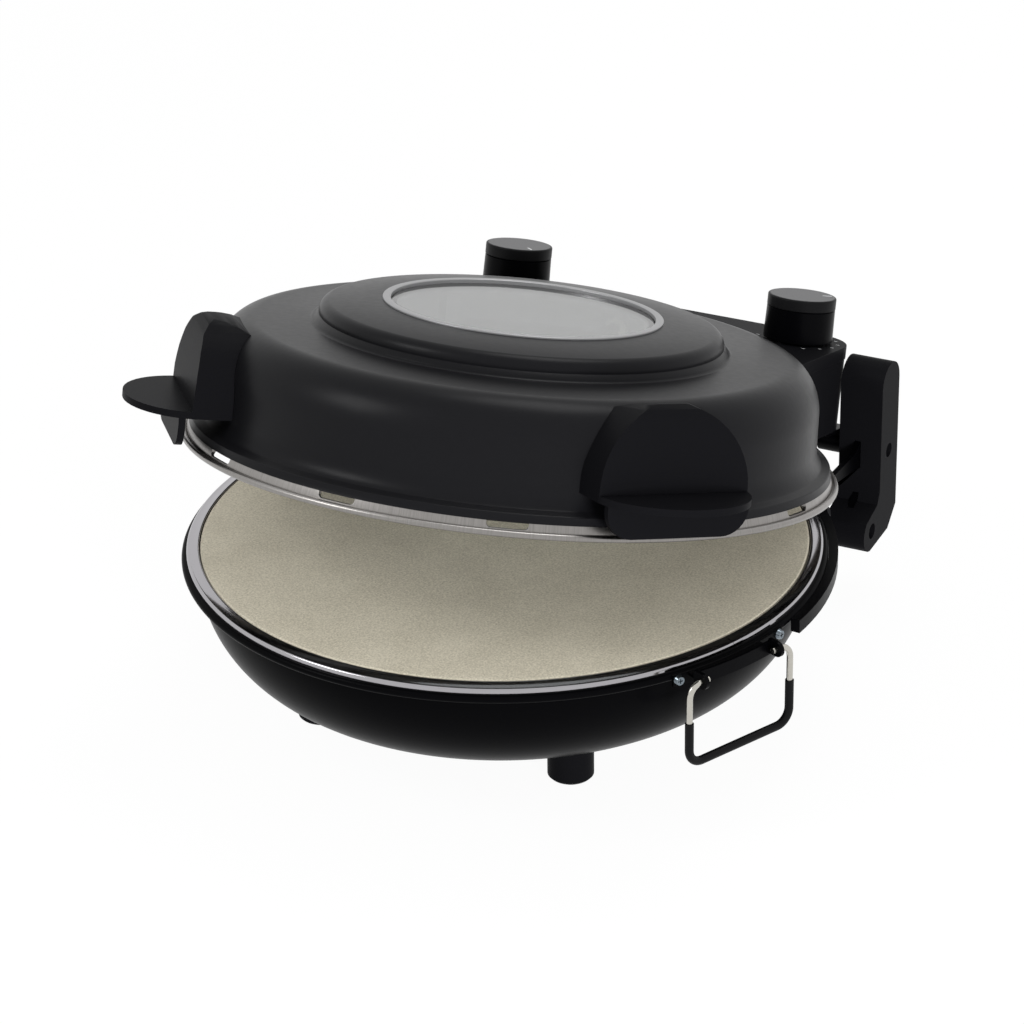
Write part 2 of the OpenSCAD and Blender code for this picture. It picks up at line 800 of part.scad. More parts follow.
// Hollow hinge post with a boss round the pin and one round its fixing screw
module hinge_post(s) {
    boss_r = pin_r + 4;
    cap_hole_r = pin_r - 0.1;
    screw_boss_r = 5.5;
    screw_hole_r = 4.3;
    screw_y = hinge_y - post_screw_back + 6;
    screw_z = hinge_z - post_screw_drop + 2;
    inner = post_w - 2 * post_t;
    color("#151517") at_axis()
        mirror([s < 0 ? 1 : 0, 0, 0])
            difference() {
                side_plate(post_outline(0), post_in_x, post_w);
                difference() {
                    side_plate(post_outline(post_t), post_in_x + post_t, inner);
                    translate([post_in_x, hinge_y, hinge_z])
                        rotate([0, 90, 0]) cylinder(r = boss_r, h = post_w);
                    translate([post_in_x, screw_y, screw_z])
                        rotate([0, 90, 0]) cylinder(r = screw_boss_r, h = post_w);
                }
                side_plate(grown(yoke_arm_outline(), seat_gap),
                    yoke_plate_x - seat_gap, yoke_plate_t + 2 * seat_gap);
                translate([post_in_x - 1, hinge_y, hinge_z])
                    rotate([0, 90, 0]) cylinder(r = pin_r + run_gap, h = pin_out_x - post_in_x + 1.2);
                translate([post_in_x, hinge_y, hinge_z])
                    rotate([0, 90, 0]) cylinder(r = cap_hole_r, h = post_w + 1);
                translate([yoke_plate_x + yoke_plate_t, screw_y, screw_z])
                    rotate([0, 90, 0]) cylinder(r = 1.7, h = post_w);
                translate([post_out_x - 4, screw_y, screw_z])
                    rotate([0, 90, 0]) cylinder(r = screw_hole_r, h = 5);
            }
}

module hinge_post_right() {
    hinge_post(1);
}

module hinge_post_left() {
    hinge_post(-1);
}

// Screws that fix the posts to the yoke, and the yoke to the rim
module post_screws() {
    color("#2a2a2c") at_axis() {
        for (s = [-1, 1])
            mirror([s < 0 ? 1 : 0, 0, 0])
                translate([post_out_x - 4, hinge_y - post_screw_back + 6, hinge_z - post_screw_drop + 2])
                    rotate([0, 90, 0])
                        screw(1.5, post_out_x - 4 - yoke_plate_x - 0.2, 3, 1.8);
        yoke_screw_places() screw(1.5, yoke_w + 3.5, 3, 1.8);
    }
}

module hinge_pin(s) {
    color("#9a9c9e") at_axis()
        mirror([s < 0 ? 1 : 0, 0, 0])
            translate([pin_in_x, hinge_y, hinge_z])
                rotate([0, 90, 0]) {
                    cylinder(r = pin_r, h = pin_out_x - pin_in_x);
                }
}

module hinge_pin_right() {
    hinge_pin(1);
}

module hinge_pin_left() {
    hinge_pin(-1);
}

// ---------- Stone ----------

module baking_stone() {
    edge = 1;
    color("#b9b3a3") at_axis()
        spun([[0, stone_bottom], [stone_r - stone_bevel, stone_bottom],
            [stone_r, stone_bottom + stone_bevel], [stone_r, stone_top - edge],
            [stone_r - edge * 0.3, stone_top - edge * 0.3], [stone_r - edge, stone_top], [0, stone_top]]);
}

// ---------- Lid ----------

// Everything inside the lid's outer surface, grown outwards by a clearance
module lid_solid(grow) {
    spun(concat([[0, -20], [rim_edge_r + grow, -20]], shifted(lid_outline, -grow), [[0, land_h + grow]]));
}

module lid_shell() {
    color("#121214") on_lid()
        difference() {
            spun(sheet(lid_outline, lid_t));
            handle_screw_places() cylinder(r = 2 + hole_gap, h = 20, center = true);
            housing_screw_places() cylinder(r = 2 + hole_gap, h = 20, center = true);
            bushing_holes(upper_element_h);
        }
}

// Bright band with vent slots and a rolled bead along its lower edge
module lid_band() {
    bead_half = bead_r * sin(60);
    slot_half = slot_w / 2 - slot_corner_r;
    slot_low = slot_low_h + slot_corner_r;
    color("#c8cacc") on_lid()
        difference() {
            union() {
                spun(sheet(band_outline, band_t));
                spun(concat([[band_r - band_t / 2, bead_r - bead_half]],
                    ellipse([bead_centre_r - 0.1, bead_r], bead_r, bead_r, -120, 120, 16),
                    [[band_r - band_t / 2, bead_r + bead_half]]));
            }
            for (i = [0 : slot_count - 1])
                turned(slot_phase + i * 360 / slot_count)
                    translate([0, 8 - band_r, 0])
                        outwards() linear_extrude(12)
                            polygon(concat(
                                ellipse([slot_half, slot_low], slot_corner_r, slot_corner_r, -90, 0, 3),
                                [[slot_w / 2, slot_low_h + slot_h], [-slot_w / 2, slot_low_h + slot_h]],
                                ellipse([-slot_half, slot_low], slot_corner_r, slot_corner_r, 180, 270, 3)));
        }
}

module lid_liner() {
    color("#9fa1a3") on_lid()
        difference() {
            spun(sheet(liner_outline, liner_t));
            bushing_holes(upper_element_h);
        }
}

module window_bezel() {
    color("#b4b6b8") on_lid()
        spun([[neck_in_r, gasket_bottom], [neck_r, gasket_bottom], [neck_r, land_h], [bezel_r, land_h],
            [bezel_r, lid_h - 0.4], [bezel_r - 0.5, lid_h], [neck_in_r + 0.5, lid_h],
            [neck_in_r, lid_h - 0.4]]);
}

module window_glass() {
    color("#9a9ca0", 0.6) on_lid()
        translate([0, 0, glass_top - glass_t]) cylinder(r = glass_r, h = glass_t);
}

module window_gasket() {
    color("#5a2a22") on_lid()
        translate([0, 0, gasket_bottom])
            difference() {
                cylinder(r = glass_r, h = gasket_t);
                translate([0, 0, -1]) cylinder(r = glass_r - 3, h = gasket_t + 2);
            }
}

module window_retainer() {
    color("#8e9092") on_lid()
        translate([0, 0, gasket_bottom - liner_t - retainer_t])
            difference() {
                cylinder(r = bezel_r, h = retainer_t);
                translate([0, 0, -1]) cylinder(r = glass_r - 4, h = retainer_t + 2);
            }
}

module upper_element() {
    color("#3a3a3c") on_lid() translate([0, 0, upper_element_h]) element(upper_loop_r, upper_leg_y);
}

module upper_element_clips() {
    top = lid_top_h - lid_t - liner_drop - liner_t + 0.55;
    color("#8c8e90") on_lid()
        element_clips(upper_loop_r, upper_element_h, upper_element_h - element_r, top);
}

module upper_bushings() {
    color("#e6e0d2") on_lid() element_bushings(upper_element_h, lid_wall_r - 12, 16);
}

// ---------- Lid handles ----------

// Places of the screws that hold both handles, seen from inside the lid
module handle_screw_places() {
    for (s = [-1, 1], e = [-1, 1])
        turned(s * handle_angle)
            translate([e * handle_screw_t, -lid_wall_r, handle_screw_h])
                outwards() children();
}

// The arched hood of a handle: its face leans back and its top slopes down towards the lid
module handle_hood(inset) {
    half = handle_half_w - inset;
    face = handle_face_r - inset;
    rise = handle_arch_h - inset;
    intersection() {
        outwards() linear_extrude(face + 5)
            polygon(concat([[half, ledge_h]],
                ellipse([0, ledge_h + hood_side_h], half, rise - hood_side_h, 0, 180, 24),
                [[-half, ledge_h]]));
        side_plate([for (p = hood_outline) [p[0] - face, ledge_h + p[1] * rise]], -60, 120);
    }
}

module handle(s) {
    guard_w = handle_half_w - 2;
    guard_r = handle_tip_r - guard_in;
    guard_drop = handle_guard_h - 3;
    color("#17171a") on_lid()
        mirror([s < 0 ? 1 : 0, 0, 0])
            turned(handle_angle)
                difference() {
                    union() {
                        difference() {
                            handle_hood(0);
                            handle_hood(handle_t);
                        }
                        for (e = [-1, 1])
                            translate([e * handle_screw_t, 0, handle_screw_h])
                                outwards() cylinder(r = 5, h = handle_face_r - 3);
                        translate([0, 0, ledge_h]) linear_extrude(ledge_t)
                            polygon(concat([[handle_half_w, -120]],
                                [[handle_half_w, 3 - handle_face_r]],
                                ellipse([0, 3 - handle_face_r], handle_half_w,
                                    handle_tip_r - handle_face_r + 3, 0, -180, 24),
                                [[-handle_half_w, -120]]));
                        translate([0, -guard_r, 0])
                            outwards() linear_extrude(handle_t + 0.5)
                                polygon(concat([[guard_w, ledge_h + 1]],
                                    ellipse([guard_w - guard_corner, ledge_h - 3], guard_corner, guard_drop, 0, -90, 8),
                                    ellipse([guard_corner - guard_w, ledge_h - 3], guard_corner, guard_drop, -90, -180, 8),
                                    [[-guard_w, ledge_h + 1]]));
                    }
                    lid_solid(fix_gap);
                    for (e = [-1, 1])
                        translate([e * handle_screw_t, 0, handle_screw_h])
                            outwards() cylinder(r = 2 + run_gap, h = handle_face_r - 5);
                }
}

module handle_right() {
    handle(1);
}

module handle_left() {
    handle(-1);
}

module handle_screws() {
    seat = lid_wall_r - 4.1;
    color("#b9bbbd") on_lid()
        for (s = [-1, 1], e = [-1, 1])
            turned(s * handle_angle)
                translate([e * handle_screw_t, -seat, handle_screw_h])
                    rotate([-90, 0, 0]) screw(2, 11, 3, 1.6);
}

// ---------- Control housing ----------

// Plan of the housing: a block whose rear corners are rounded
module housing_plan(half, front, back, corner) {
    polygon(concat([[half, front]], arc([half - corner, back - corner], corner, 0, 90, 10),
        arc([corner - half, back - corner], corner, 90, 180, 10), [[-half, front]]));
}

// Places of the screws that hold the housing to the lid
module housing_screw_places() {
    for (s = [-1, 1])
        turned(180 + s * asin(housing_screw_x / lid_wall_r))
            translate([0, -lid_wall_r, housing_screw_h])
                outwards() children();
}

module control_housing() {
    high = panel_low_h - housing_low_h;
    color("#111113") on_lid()
        difference() {
            union() {
                difference() {
                    translate([0, 0, housing_low_h]) linear_extrude(high)
                        housing_plan(housing_half_w, housing_front_y, housing_back - 3, housing_corner_r);
                    translate([0, 0, housing_low_h - 1]) linear_extrude(high + 2)
                        housing_plan(housing_half_w - housing_t, housing_front_y - 10,
                            housing_back - 3 - housing_t, housing_corner_r - housing_t);
                }
                for (s = [-1, 1])
                    translate([s * (housing_screw_x + 1.5) - housing_t / 2, lid_wall_r - 10, housing_low_h])
                        cube([housing_t, housing_back - 4 - lid_wall_r + 10, high]);
                housing_screw_places() cylinder(r = 5, h = 14);
            }
            lid_solid(fix_gap);
            housing_screw_places() cylinder(r = 2 + run_gap, h = 40, center = true);
            cord_gland_place() cylinder(r = gland_r + fix_gap, h = 20, center = true);
        }
}

module control_panel() {
    color("#1b1b1e") on_lid()
        difference() {
            translate([0, 0, panel_low_h]) linear_extrude(panel_edge)
                housing_plan(panel_half_w, housing_front_y + 8, housing_back, housing_corner_r + 3);
            translate([0, 0, panel_low_h - 1]) linear_extrude(panel_edge - panel_t + 1)
                housing_plan(housing_half_w - housing_t, housing_front_y - 10,
                    housing_back - 3 - housing_t, housing_corner_r - housing_t);
            lid_solid(fix_gap);
            for (s = [-1, 1])
                translate([s * knob_x, knob_y, 0]) cylinder(r = spindle_r + 2.3, h = 2 * panel_h);
        }
}

module housing_base() {
    color("#0f0f11") on_lid()
        difference() {
            translate([0, 0, housing_low_h - housing_base_t]) linear_extrude(housing_base_t)
                housing_plan(housing_half_w, housing_front_y, housing_back - 3, housing_corner_r);
            lid_solid(seat_gap);
            for (s = [-1, 1], y = arm_screw_y)
                translate([s * arm_screw_x, y, 0]) cylinder(r = 1.5 + hole_gap, h = 10);
        }
}

// Screws from inside the lid into the housing, and up through the hinge arms
module housing_screws() {
    color("#b9bbbd") on_lid() {
        for (s = [-1, 1])
            turned(180 + s * asin(housing_screw_x / lid_wall_r))
                translate([0, -lid_wall_r + 2.4, housing_screw_h])
                    rotate([-90, 0, 0]) screw(2, 12, 3, 1.5);
        for (s = [-1, 1], y = arm_screw_y)
            translate([s * arm_screw_x, y, housing_low_h - housing_base_t - 2.5])
                mirror([0, 0, 1]) screw(1.5, 7, 2.6, 1.4);
    }
}

// Arm under the housing whose barrel turns on a hinge pin
module hinge_arm(s) {
    axis_h = hinge_z - closed_z;
    top = housing_low_h - housing_base_t;
    plate_t = 2.5;
    far = housing_half_w - 1;
    color("#1a1a1d") on_lid()
        mirror([s < 0 ? 1 : 0, 0, 0])
            difference() {
                union() {
                    translate([barrel_in_x, hinge_y, axis_h])
                        rotate([0, 90, 0]) cylinder(r = barrel_r, h = barrel_out_x - barrel_in_x);
                    translate([barrel_in_x - 6, housing_back - 29, top - plate_t])
                        cube([far - barrel_in_x + 6, 26, plate_t]);
                    translate([barrel_in_x, hinge_y - 5, axis_h])
                        cube([far - barrel_in_x, 6.5, top - axis_h]);
                }
                translate([barrel_in_x - 1, hinge_y, axis_h])
                    rotate([0, 90, 0]) cylinder(r = pin_r + run_gap, h = barrel_out_x);
                for (y = arm_screw_y)
                    translate([arm_screw_x, y, -10]) cylinder(r = 1.5 + hole_gap, h = 20);
            }
}

module hinge_arm_right() {
    hinge_arm(1);
}

module hinge_arm_left() {
    hinge_arm(-1);
}

// A rotary control under the panel: a round body, two tags and a threaded neck
module rotary_control(s, body_r, body_h) {
    top = panel_h - panel_t;
    translate([s * knob_x, knob_y, 0])
        difference() {
            union() {
                translate([0, 0, top - body_h]) cylinder(r = body_r, h = body_h);
                translate([0, 0, top - 1]) cylinder(r = spindle_r + 2, h = panel_t + 1 + neck_h);
                for (x = [-6, 6])
                    translate([x - 2, -1, top - body_h - 6]) cube([4, 0.8, 7]);
            }
            translate([0, 0, top - body_h + 2])
                cylinder(r = spindle_r + run_gap, h = body_h + panel_t + neck_h);
        }
}

module thermostat() {
    color("#d8d2c4") on_lid() rotary_control(1, control_r, control_h);
}

module timer() {
    color("#8a8c8e") on_lid() rotary_control(-1, control_r + 1, control_h + 5);
}

module control_nuts() {
    color("#a8aaac") on_lid()
        for (s = [-1, 1])
            translate([s * knob_x, knob_y, panel_h])
                difference() {
                    cylinder(r = spindle_r + 4.6, h = nut_h, $fn = 6);
                    translate([0, 0, -1]) cylinder(r = spindle_r + 2 + run_gap, h = nut_h + 2);
                }
}

// Place of the cord's gland in the back of the housing, pointing backwards
module cord_gland_place() {
    translate([0, housing_back - 3, housing_low_h + 13]) rotate([-90, 0, 0]) children();
}

module cord_gland() {
    color("#161618") on_lid()
        cord_gland_place()
            difference() {
                union() {
                    translate([0, 0, -housing_t - 3]) cylinder(r = gland_r, h = housing_t + 4);
                    cylinder(r = gland_r + 1.6, h = 2.8);
                    translate([0, 0, -housing_t - 3]) cylinder(r = gland_r + 1.6, h = 3);
                }
                translate([0, 0, -housing_t - 4]) cylinder(r = gland_r - 3.2, h = housing_t + 8);
            }
}

module terminal_block() {
    color("#dcd6c8") on_lid()
        difference() {
            translate([-24, housing_back - 23, housing_low_h]) cube([18, 11, 12]);
            for (x = [-21, -15, -9])
                translate([x, housing_back - 17.5, housing_low_h + 4]) cylinder(r = 1.6, h = 10);
        }
}

// ---------- Knobs ----------

module at_knob(s) {
    on_lid() translate([s * knob_x, knob_y, 0]) children();
}

module knob(s) {
    skirt_top = knob_top_h - cap_h;
    hub_low = panel_h + neck_h + 0.6;
    color("#060607") at_knob(s)
        difference() {
            translate([0, 0, knob_low_h])
                cylinder(r1 = knob_r + 0.25, r2 = knob_r, h = skirt_top - knob_low_h);
            difference() {
                translate([0, 0, knob_low_h - 1])
                    cylinder(r = knob_r - knob_wall, h = skirt_top - knob_low_h - 1.5);
                translate([0, 0, hub_low]) cylinder(r = knob_hub_r, h = knob_h);
            }
            translate([0, 0, panel_h]) cylinder(r = spindle_r + run_gap, h = knob_h);
        }
}

module knob_cap(s) {
    skirt_top = knob_top_h - cap_h;
    edge = 0.7;
    color("#232326") at_knob(s)
        difference() {
            rotate_extrude()
                polygon(concat([[0, skirt_top], [knob_r, skirt_top]],
                    arc([knob_r - edge, knob_top_h - edge], edge, 0, 90, 4), [[0, knob_top_h]]));
            translate([0, 0, panel_h]) cylinder(r = spindle_r + run_gap, h = knob_h - 3);
        }
}

module knob_spindle(s, low) {
    color("#b0b2b4") at_knob(s)
        difference() {
            translate([0, 0, low]) cylinder(r = spindle_r, h = knob_top_h - 4 - low);
            translate([-5, spindle_r - 0.8, knob_top_h - cap_h - 6]) cube([10, 5, 20]);
        }
}

module knob_right() {
    knob(1);
}

module knob_left() {
    knob(-1);
}

module knob_cap_right() {
    knob_cap(1);
}

module knob_cap_left() {
    knob_cap(-1);
}

module knob_spindle_right() {
    knob_spindle(1, panel_h - panel_t - control_h + 2.2);
}

module knob_spindle_left() {
    knob_spindle(-1, panel_h - panel_t - control_h - 5 + 2.2);
}

base_pan();
trim_ring();
lower_reflector();
lower_element();
lower_element_clips();
lower_bushings();
terminal_cover();
stone_supports();
foot_front_right();
foot_front_left();
foot_rear_right();
foot_rear_left();
foot_pads();
foot_screws();
bail_bracket_right();
bail_bracket_left();
bracket_screws();
rear_yoke();
hinge_post_right();
hinge_post_left();
post_screws();
hinge_pin_right();
hinge_pin_left();
baking_stone();
lid_shell();
lid_band();
lid_liner();
window_bezel();
window_glass();
window_gasket();
window_retainer();
upper_element();
upper_element_clips();
upper_bushings();
handle_right();
handle_left();
handle_screws();
control_housing();
control_panel();
housing_base();
housing_screws();
hinge_arm_right();
hinge_arm_left();
thermostat();
timer();
control_nuts();
cord_gland();
terminal_block();
knob_right();
knob_cap_right();
knob_spindle_right();
knob_left();
knob_cap_left();
knob_spindle_left();
bail_wire_right();
bail_sleeve_right();
bail_wire_left();
bail_sleeve_left();
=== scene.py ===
"""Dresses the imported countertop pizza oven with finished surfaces, light and a camera.

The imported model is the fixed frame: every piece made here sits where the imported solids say.
Sizes are millimetres in the classes and metres in Blender. Pieces of the lid are drawn in the
frame of the closed lid, whose height 0 is its lowest edge, and are then turned open with it.
"""

from __future__ import annotations

import json
import logging
import math
from dataclasses import dataclass, field
from enum import Enum
from typing import Any, Iterable, Sequence

import bmesh
import bpy
from mathutils import Matrix, Vector

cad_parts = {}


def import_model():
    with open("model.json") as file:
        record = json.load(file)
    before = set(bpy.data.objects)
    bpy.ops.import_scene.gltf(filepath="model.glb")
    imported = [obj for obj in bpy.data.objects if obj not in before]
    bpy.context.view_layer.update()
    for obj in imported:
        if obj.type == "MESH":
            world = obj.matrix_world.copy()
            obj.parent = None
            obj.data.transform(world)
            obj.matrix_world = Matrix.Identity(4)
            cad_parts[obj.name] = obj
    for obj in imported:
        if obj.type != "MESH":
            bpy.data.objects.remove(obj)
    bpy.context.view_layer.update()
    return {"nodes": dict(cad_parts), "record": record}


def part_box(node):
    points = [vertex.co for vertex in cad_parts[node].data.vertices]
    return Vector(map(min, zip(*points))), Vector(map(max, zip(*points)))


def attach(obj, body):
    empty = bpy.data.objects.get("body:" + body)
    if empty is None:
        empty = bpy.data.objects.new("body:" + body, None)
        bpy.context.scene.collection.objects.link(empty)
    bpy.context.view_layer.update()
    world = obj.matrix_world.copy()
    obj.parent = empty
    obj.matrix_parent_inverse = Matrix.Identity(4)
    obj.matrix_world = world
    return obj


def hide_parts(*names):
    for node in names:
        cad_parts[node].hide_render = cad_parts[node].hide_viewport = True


LOG = logging.getLogger("pizza_oven")
MM = 0.001
SIDES = {"right": 1, "left": -1}
MATH, MIX, NOISE = "ShaderNodeMath", "ShaderNodeMix", "ShaderNodeTexNoise"
WHITE = (1.0, 1.0, 1.0, 1.0)

Point = tuple[float, float]
Tree = bpy.types.NodeTree
Node = bpy.types.Node
Socket = bpy.types.NodeSocket
Piece = bpy.types.Object
Mesh = bpy.types.Mesh
Work = bmesh.types.BMesh
Material = bpy.types.Material


class Pattern(Enum):
    """How a finish's surface was made, which sets the pattern in its material."""

    MOULDED = "fine pebbled grain"
    SPRAYED = "soft orange peel"
    POLISHED = "faint smears"
    BRUSHED = "streaks across a turned piece"
    BAKED = "speckled and pitted"


# Detail and roughness of the noise in the patterns that need no more than noise.
PLAIN_NOISE = {
    Pattern.MOULDED: (3.0, 0.65),
    Pattern.SPRAYED: (1.0, 0.4),
    Pattern.POLISHED: (5.0, 0.7),
}


class Shade(Enum):
    """The angle in degrees past which two faces meet in a sharp edge."""

    TURNED = 32.0
    PRESSED = 40.0

    @property
    def limit(self) -> float:
        """The angle in radians."""
        return math.radians(self.value)


# ---------- Finishes ----------


def linear(hex_colour: str) -> tuple[float, float, float, float]:
    """Turns an sRGB hex colour into Blender's linear colour.

    Args:
        hex_colour: Six hex digits after a hash.

    Returns:
        Red, green, blue and alpha, each 0 to 1.
    """
    parts = [int(hex_colour[i : i + 2], 16) / 255 for i in (1, 3, 5)]
    red, green, blue = (c / 12.92 if c <= 0.04045 else ((c + 0.055) / 1.055) ** 2.4 for c in parts)
    return red, green, blue, 1.0


def add_node(tree: Tree, kind: str, inputs: dict[Any, Any] | None = None, **settings: Any) -> Node:
    """Adds a node, sets its properties and fills or links its inputs.

    Args:
        tree: The node tree that gets the node.
        kind: The node's type name.
        inputs: For each input, by name or place, a value, an output socket, or a node whose
            first output in use is meant.
        **settings: The node's own properties.

    Returns:
        The new node.
    """
    node = tree.nodes.new(kind)
    for name, value in settings.items():
        setattr(node, name, value)
    for key, value in (inputs or {}).items():
        if isinstance(value, Node):
            value = next(socket for socket in value.outputs if socket.enabled)
        if isinstance(value, Socket):
            tree.links.new(value, node.inputs[key])
        else:
            node.inputs[key].default_value = value
    return node


def empty_tree(owner: Material | bpy.types.World) -> Tree:
    """Gives a material or a world an empty node tree.

    Args:
        owner: The material or the world.

    Returns:
        Its node tree.
    """
    owner.use_nodes = True
    owner.node_tree.nodes.clear()
    return owner.node_tree


@dataclass(frozen=True)
class Finish:
    """One finish: what it is made of and how its surface was made; a few also carry painted shade or
    painted sheen.
    """

    name: str  # The finish's common name
    slot: str  # The record's material slot that it dresses, or nothing for ink and the painted sheen on the caps
    colour: str  # Its sRGB colour
    metallic: float  # 1 for bare metal, else 0
    roughness: float  # How widely it spreads a reflection
    pattern: Pattern  # How its surface was made
    grain: float  # The spacing of its pattern, in millimetres
    depth: float  # The depth of its pattern, in millimetres
    second: str  # The sRGB colour that the pattern mixes in
    mix: float = 0.3  # How much of the second colour the pattern mixes in
    uneven: float = 0.08  # How far the pattern moves the roughness
    ior: float = 1.5  # Index of refraction
    specular: float = 0.5  # Strength of the reflection of a piece that isn't metal
    transmission: float = 0.0  # 1 for a clear piece

    def build(self, turned: Matrix) -> Material:
        """Makes the finish's material.

        Args:
            turned: Turns the row's frame into the frame that streaks run round.

        Returns:
            The new material.
        """
        material = bpy.data.materials.new(self.name)
        tree = empty_tree(material)
        place = add_node(tree, "ShaderNodeTexCoord").outputs["Object"]
        pattern = self.pattern_value(tree, place, turned)
        scaled = {"operation": "MULTIPLY_ADD", "use_clamp": True}
        share, rough = (
            add_node(tree, MATH, {0: pattern, 1: factor, 2: offset}, **scaled)
            for factor, offset in ((self.mix, 0.0), (2 * self.uneven, self.roughness - self.uneven))
        )
        colours = {"Factor": share, "A": linear(self.colour), "B": linear(self.second)}
        bump = {"Strength": 1.0, "Distance": self.depth * MM, "Height": pattern}
        look = {
            "Base Color": add_node(tree, MIX, colours, data_type="RGBA"),
            "Metallic": self.metallic,
            "Roughness": rough,
            "IOR": self.ior,
            "Specular IOR Level": self.specular,
            "Transmission Weight": self.transmission,
            "Normal": add_node(tree, "ShaderNodeBump", bump),
        }
        shader = add_node(tree, "ShaderNodeBsdfPrincipled", look)
        add_node(tree, "ShaderNodeOutputMaterial", {"Surface": shader})
        return material

    def pattern_value(self, tree: Tree, place: Socket, turned: Matrix) -> Socket:
        """Adds the nodes of the finish's pattern.

        Args:
            tree: The material's node tree.
            place: The object coordinates.
            turned: Turns the row's frame into the frame that streaks run round.

        Returns:
            A socket between 0 and 1.
        """
        if self.pattern is Pattern.BRUSHED:
            return self.streaks(tree, place, turned)
        per_metre = 1 / (self.grain * MM)
        if self.pattern is Pattern.BAKED:
            return self.speckle(tree, place, per_metre)
        detail, rough = PLAIN_NOISE[self.pattern]
        noise = {"Vector": place, "Scale": per_metre, "Detail": detail, "Roughness": rough}
        return add_node(tree, NOISE, noise).outputs["Fac"]

    def streaks(self, tree: Tree, place: Socket, turned: Matrix) -> Socket:
        """Adds brushed streaks that run up a turned piece, about one for every grain round it.

        Args:
            tree: The material's node tree.
            place: The object coordinates.
            turned: Turns the row's frame into the frame that the streaks run round.

        Returns:
            A socket between 0 and 1.
        """
        radius = 160.0
        per_metre_up = 40.0
        move = {"Vector": place, "Location": turned.to_translation(), "Rotation": turned.to_euler()}
        upright = add_node(tree, "ShaderNodeMapping", move, vector_type="POINT")
        parts = add_node(tree, "ShaderNodeSeparateXYZ", {0: upright}).outputs
        forward = add_node(tree, MATH, {0: parts["Y"], 1: -1.0}, operation="MULTIPLY")
        angle = add_node(tree, MATH, {0: parts["X"], 1: forward}, operation="ARCTAN2")
        around = add_node(tree, MATH, {0: angle, 1: radius / self.grain}, operation="MULTIPLY")
        up = add_node(tree, MATH, {0: parts["Z"], 1: per_metre_up}, operation="MULTIPLY")
        joined = add_node(tree, "ShaderNodeCombineXYZ", {"X": around, "Y": up})
        noise = {"Vector": joined, "Scale": 1.0, "Detail": 4.0, "Roughness": 0.7}
        return add_node(tree, NOISE, noise).outputs["Fac"]

    @staticmethod
    def speckle(tree: Tree, place: Socket, per_metre: float) -> Socket:
        """Adds fine grains over broad, faint clouds.

        Args:
            tree: The material's node tree.
            place: The object coordinates.
            per_metre: Grains in a metre.

        Returns:
            A socket between 0 and 1.
        """
        grains_across_cloud = 26
        fine = {"Vector": place, "Scale": per_metre, "Detail": 6.0, "Roughness": 0.75}
        broad = {"Vector": place, "Scale": per_metre / grains_across_cloud, "Detail": 3.0, "Roughness": 0.5}
        layers = {"Factor": 0.12, "A": add_node(tree, NOISE, fine), "B": add_node(tree, NOISE, broad)}
        both = add_node(tree, MIX, layers, data_type="FLOAT")
        spread = {"Value": both, "From Min": 0.4, "From Max": 0.68}
        return add_node(tree, "ShaderNodeMapRange", spread, clamp=True).outputs[0]


# Enamel is sprayed and fired, so it is smooth with a soft, wide orange peel.
LID_ENAMEL = Finish(
    "satin black enamel", "black_enamel", "#0e0e10", 0.0, 0.33, Pattern.SPRAYED, 3.2, 0.02, "#121214",
    uneven=0.03, specular=0.085,
)
# The pan has the lid's black enamel, made deeper black as painted shade because it faces down, away from
# the light.
PAN_ENAMEL_WITH_PAINTED_SHADE = Finish(
    "deep black enamel", "black_enamel", "#030304", 0.0, 0.3, Pattern.SPRAYED, 2.6, 0.015, "#050505",
    uneven=0.03, specular=0.02,
)
# Powder paint on steel brackets has a tight texture and hardly any sheen.
BRACKET_PAINT = Finish(
    "black powder paint", "black_paint", "#020203", 0.0, 0.34, Pattern.SPRAYED, 1.4, 0.015, "#040405",
    uneven=0.05, specular=0.04,
)
# Polished stainless steel mirrors the room, with faint smears from wiping.
RING_STEEL = Finish(
    "polished stainless steel", "bright_trim", "#a9a7aa", 1.0, 0.12, Pattern.POLISHED, 22.0, 0.004,
    "#98979a", uneven=0.05,
)
# Sheet brushed across its width shows short upright streaks, about half a millimetre apart.
BAND_STEEL = Finish(
    "brushed stainless sheet", "band_steel", "#a5a29f", 1.0, 0.3, Pattern.BRUSHED, 0.9, 0.004, "#5a5755",
    mix=0.75, uneven=0.06,
)
# The window's surround is turned and satin brushed.
BEZEL_STEEL = Finish(
    "satin turned steel", "bezel_steel", "#969697", 1.0, 0.36, Pattern.BRUSHED, 0.7, 0.01, "#808183",
    mix=0.4, uneven=0.06,
)
# Aluminised sheet inside the oven is dull, with a cloudy bloom.
INNER_SHEET = Finish(
    "aluminised sheet", "inner_steel", "#7c7e80", 1.0, 0.42, Pattern.POLISHED, 14.0, 0.01, "#6c6e71",
)
# A heating element's sheath oxidises to a dark grey skin.
ELEMENT_SHEATH = Finish(
    "oxidised element sheath", "element_steel", "#3b3a3c", 0.6, 0.5, Pattern.MOULDED, 1.6, 0.02, "#54504c",
)
# Cordierite is pressed and fired: matt, beige-grey, with fine dark and pale grains.
CORDIERITE = Finish(
    "fired cordierite", "stone", "#dad3c0", 0.0, 0.86, Pattern.BAKED, 1.0, 0.05, "#8f8875",
    mix=0.8, uneven=0.05, specular=0.2,
)
# Steatite is glazed off-white and smooth.
STEATITE = Finish(
    "steatite ceramic", "ceramic", "#e4ddcc", 0.0, 0.6, Pattern.MOULDED, 1.0, 0.01, "#d6ceba",
)
# Moulded phenolic has a fine pebbled grain and a low, wide sheen.
PHENOLIC = Finish(
    "moulded black phenolic", "moulded_black", "#0d0d0f", 0.0, 0.42, Pattern.MOULDED, 0.9, 0.02, "#121214",
    uneven=0.05, specular=0.015,
)
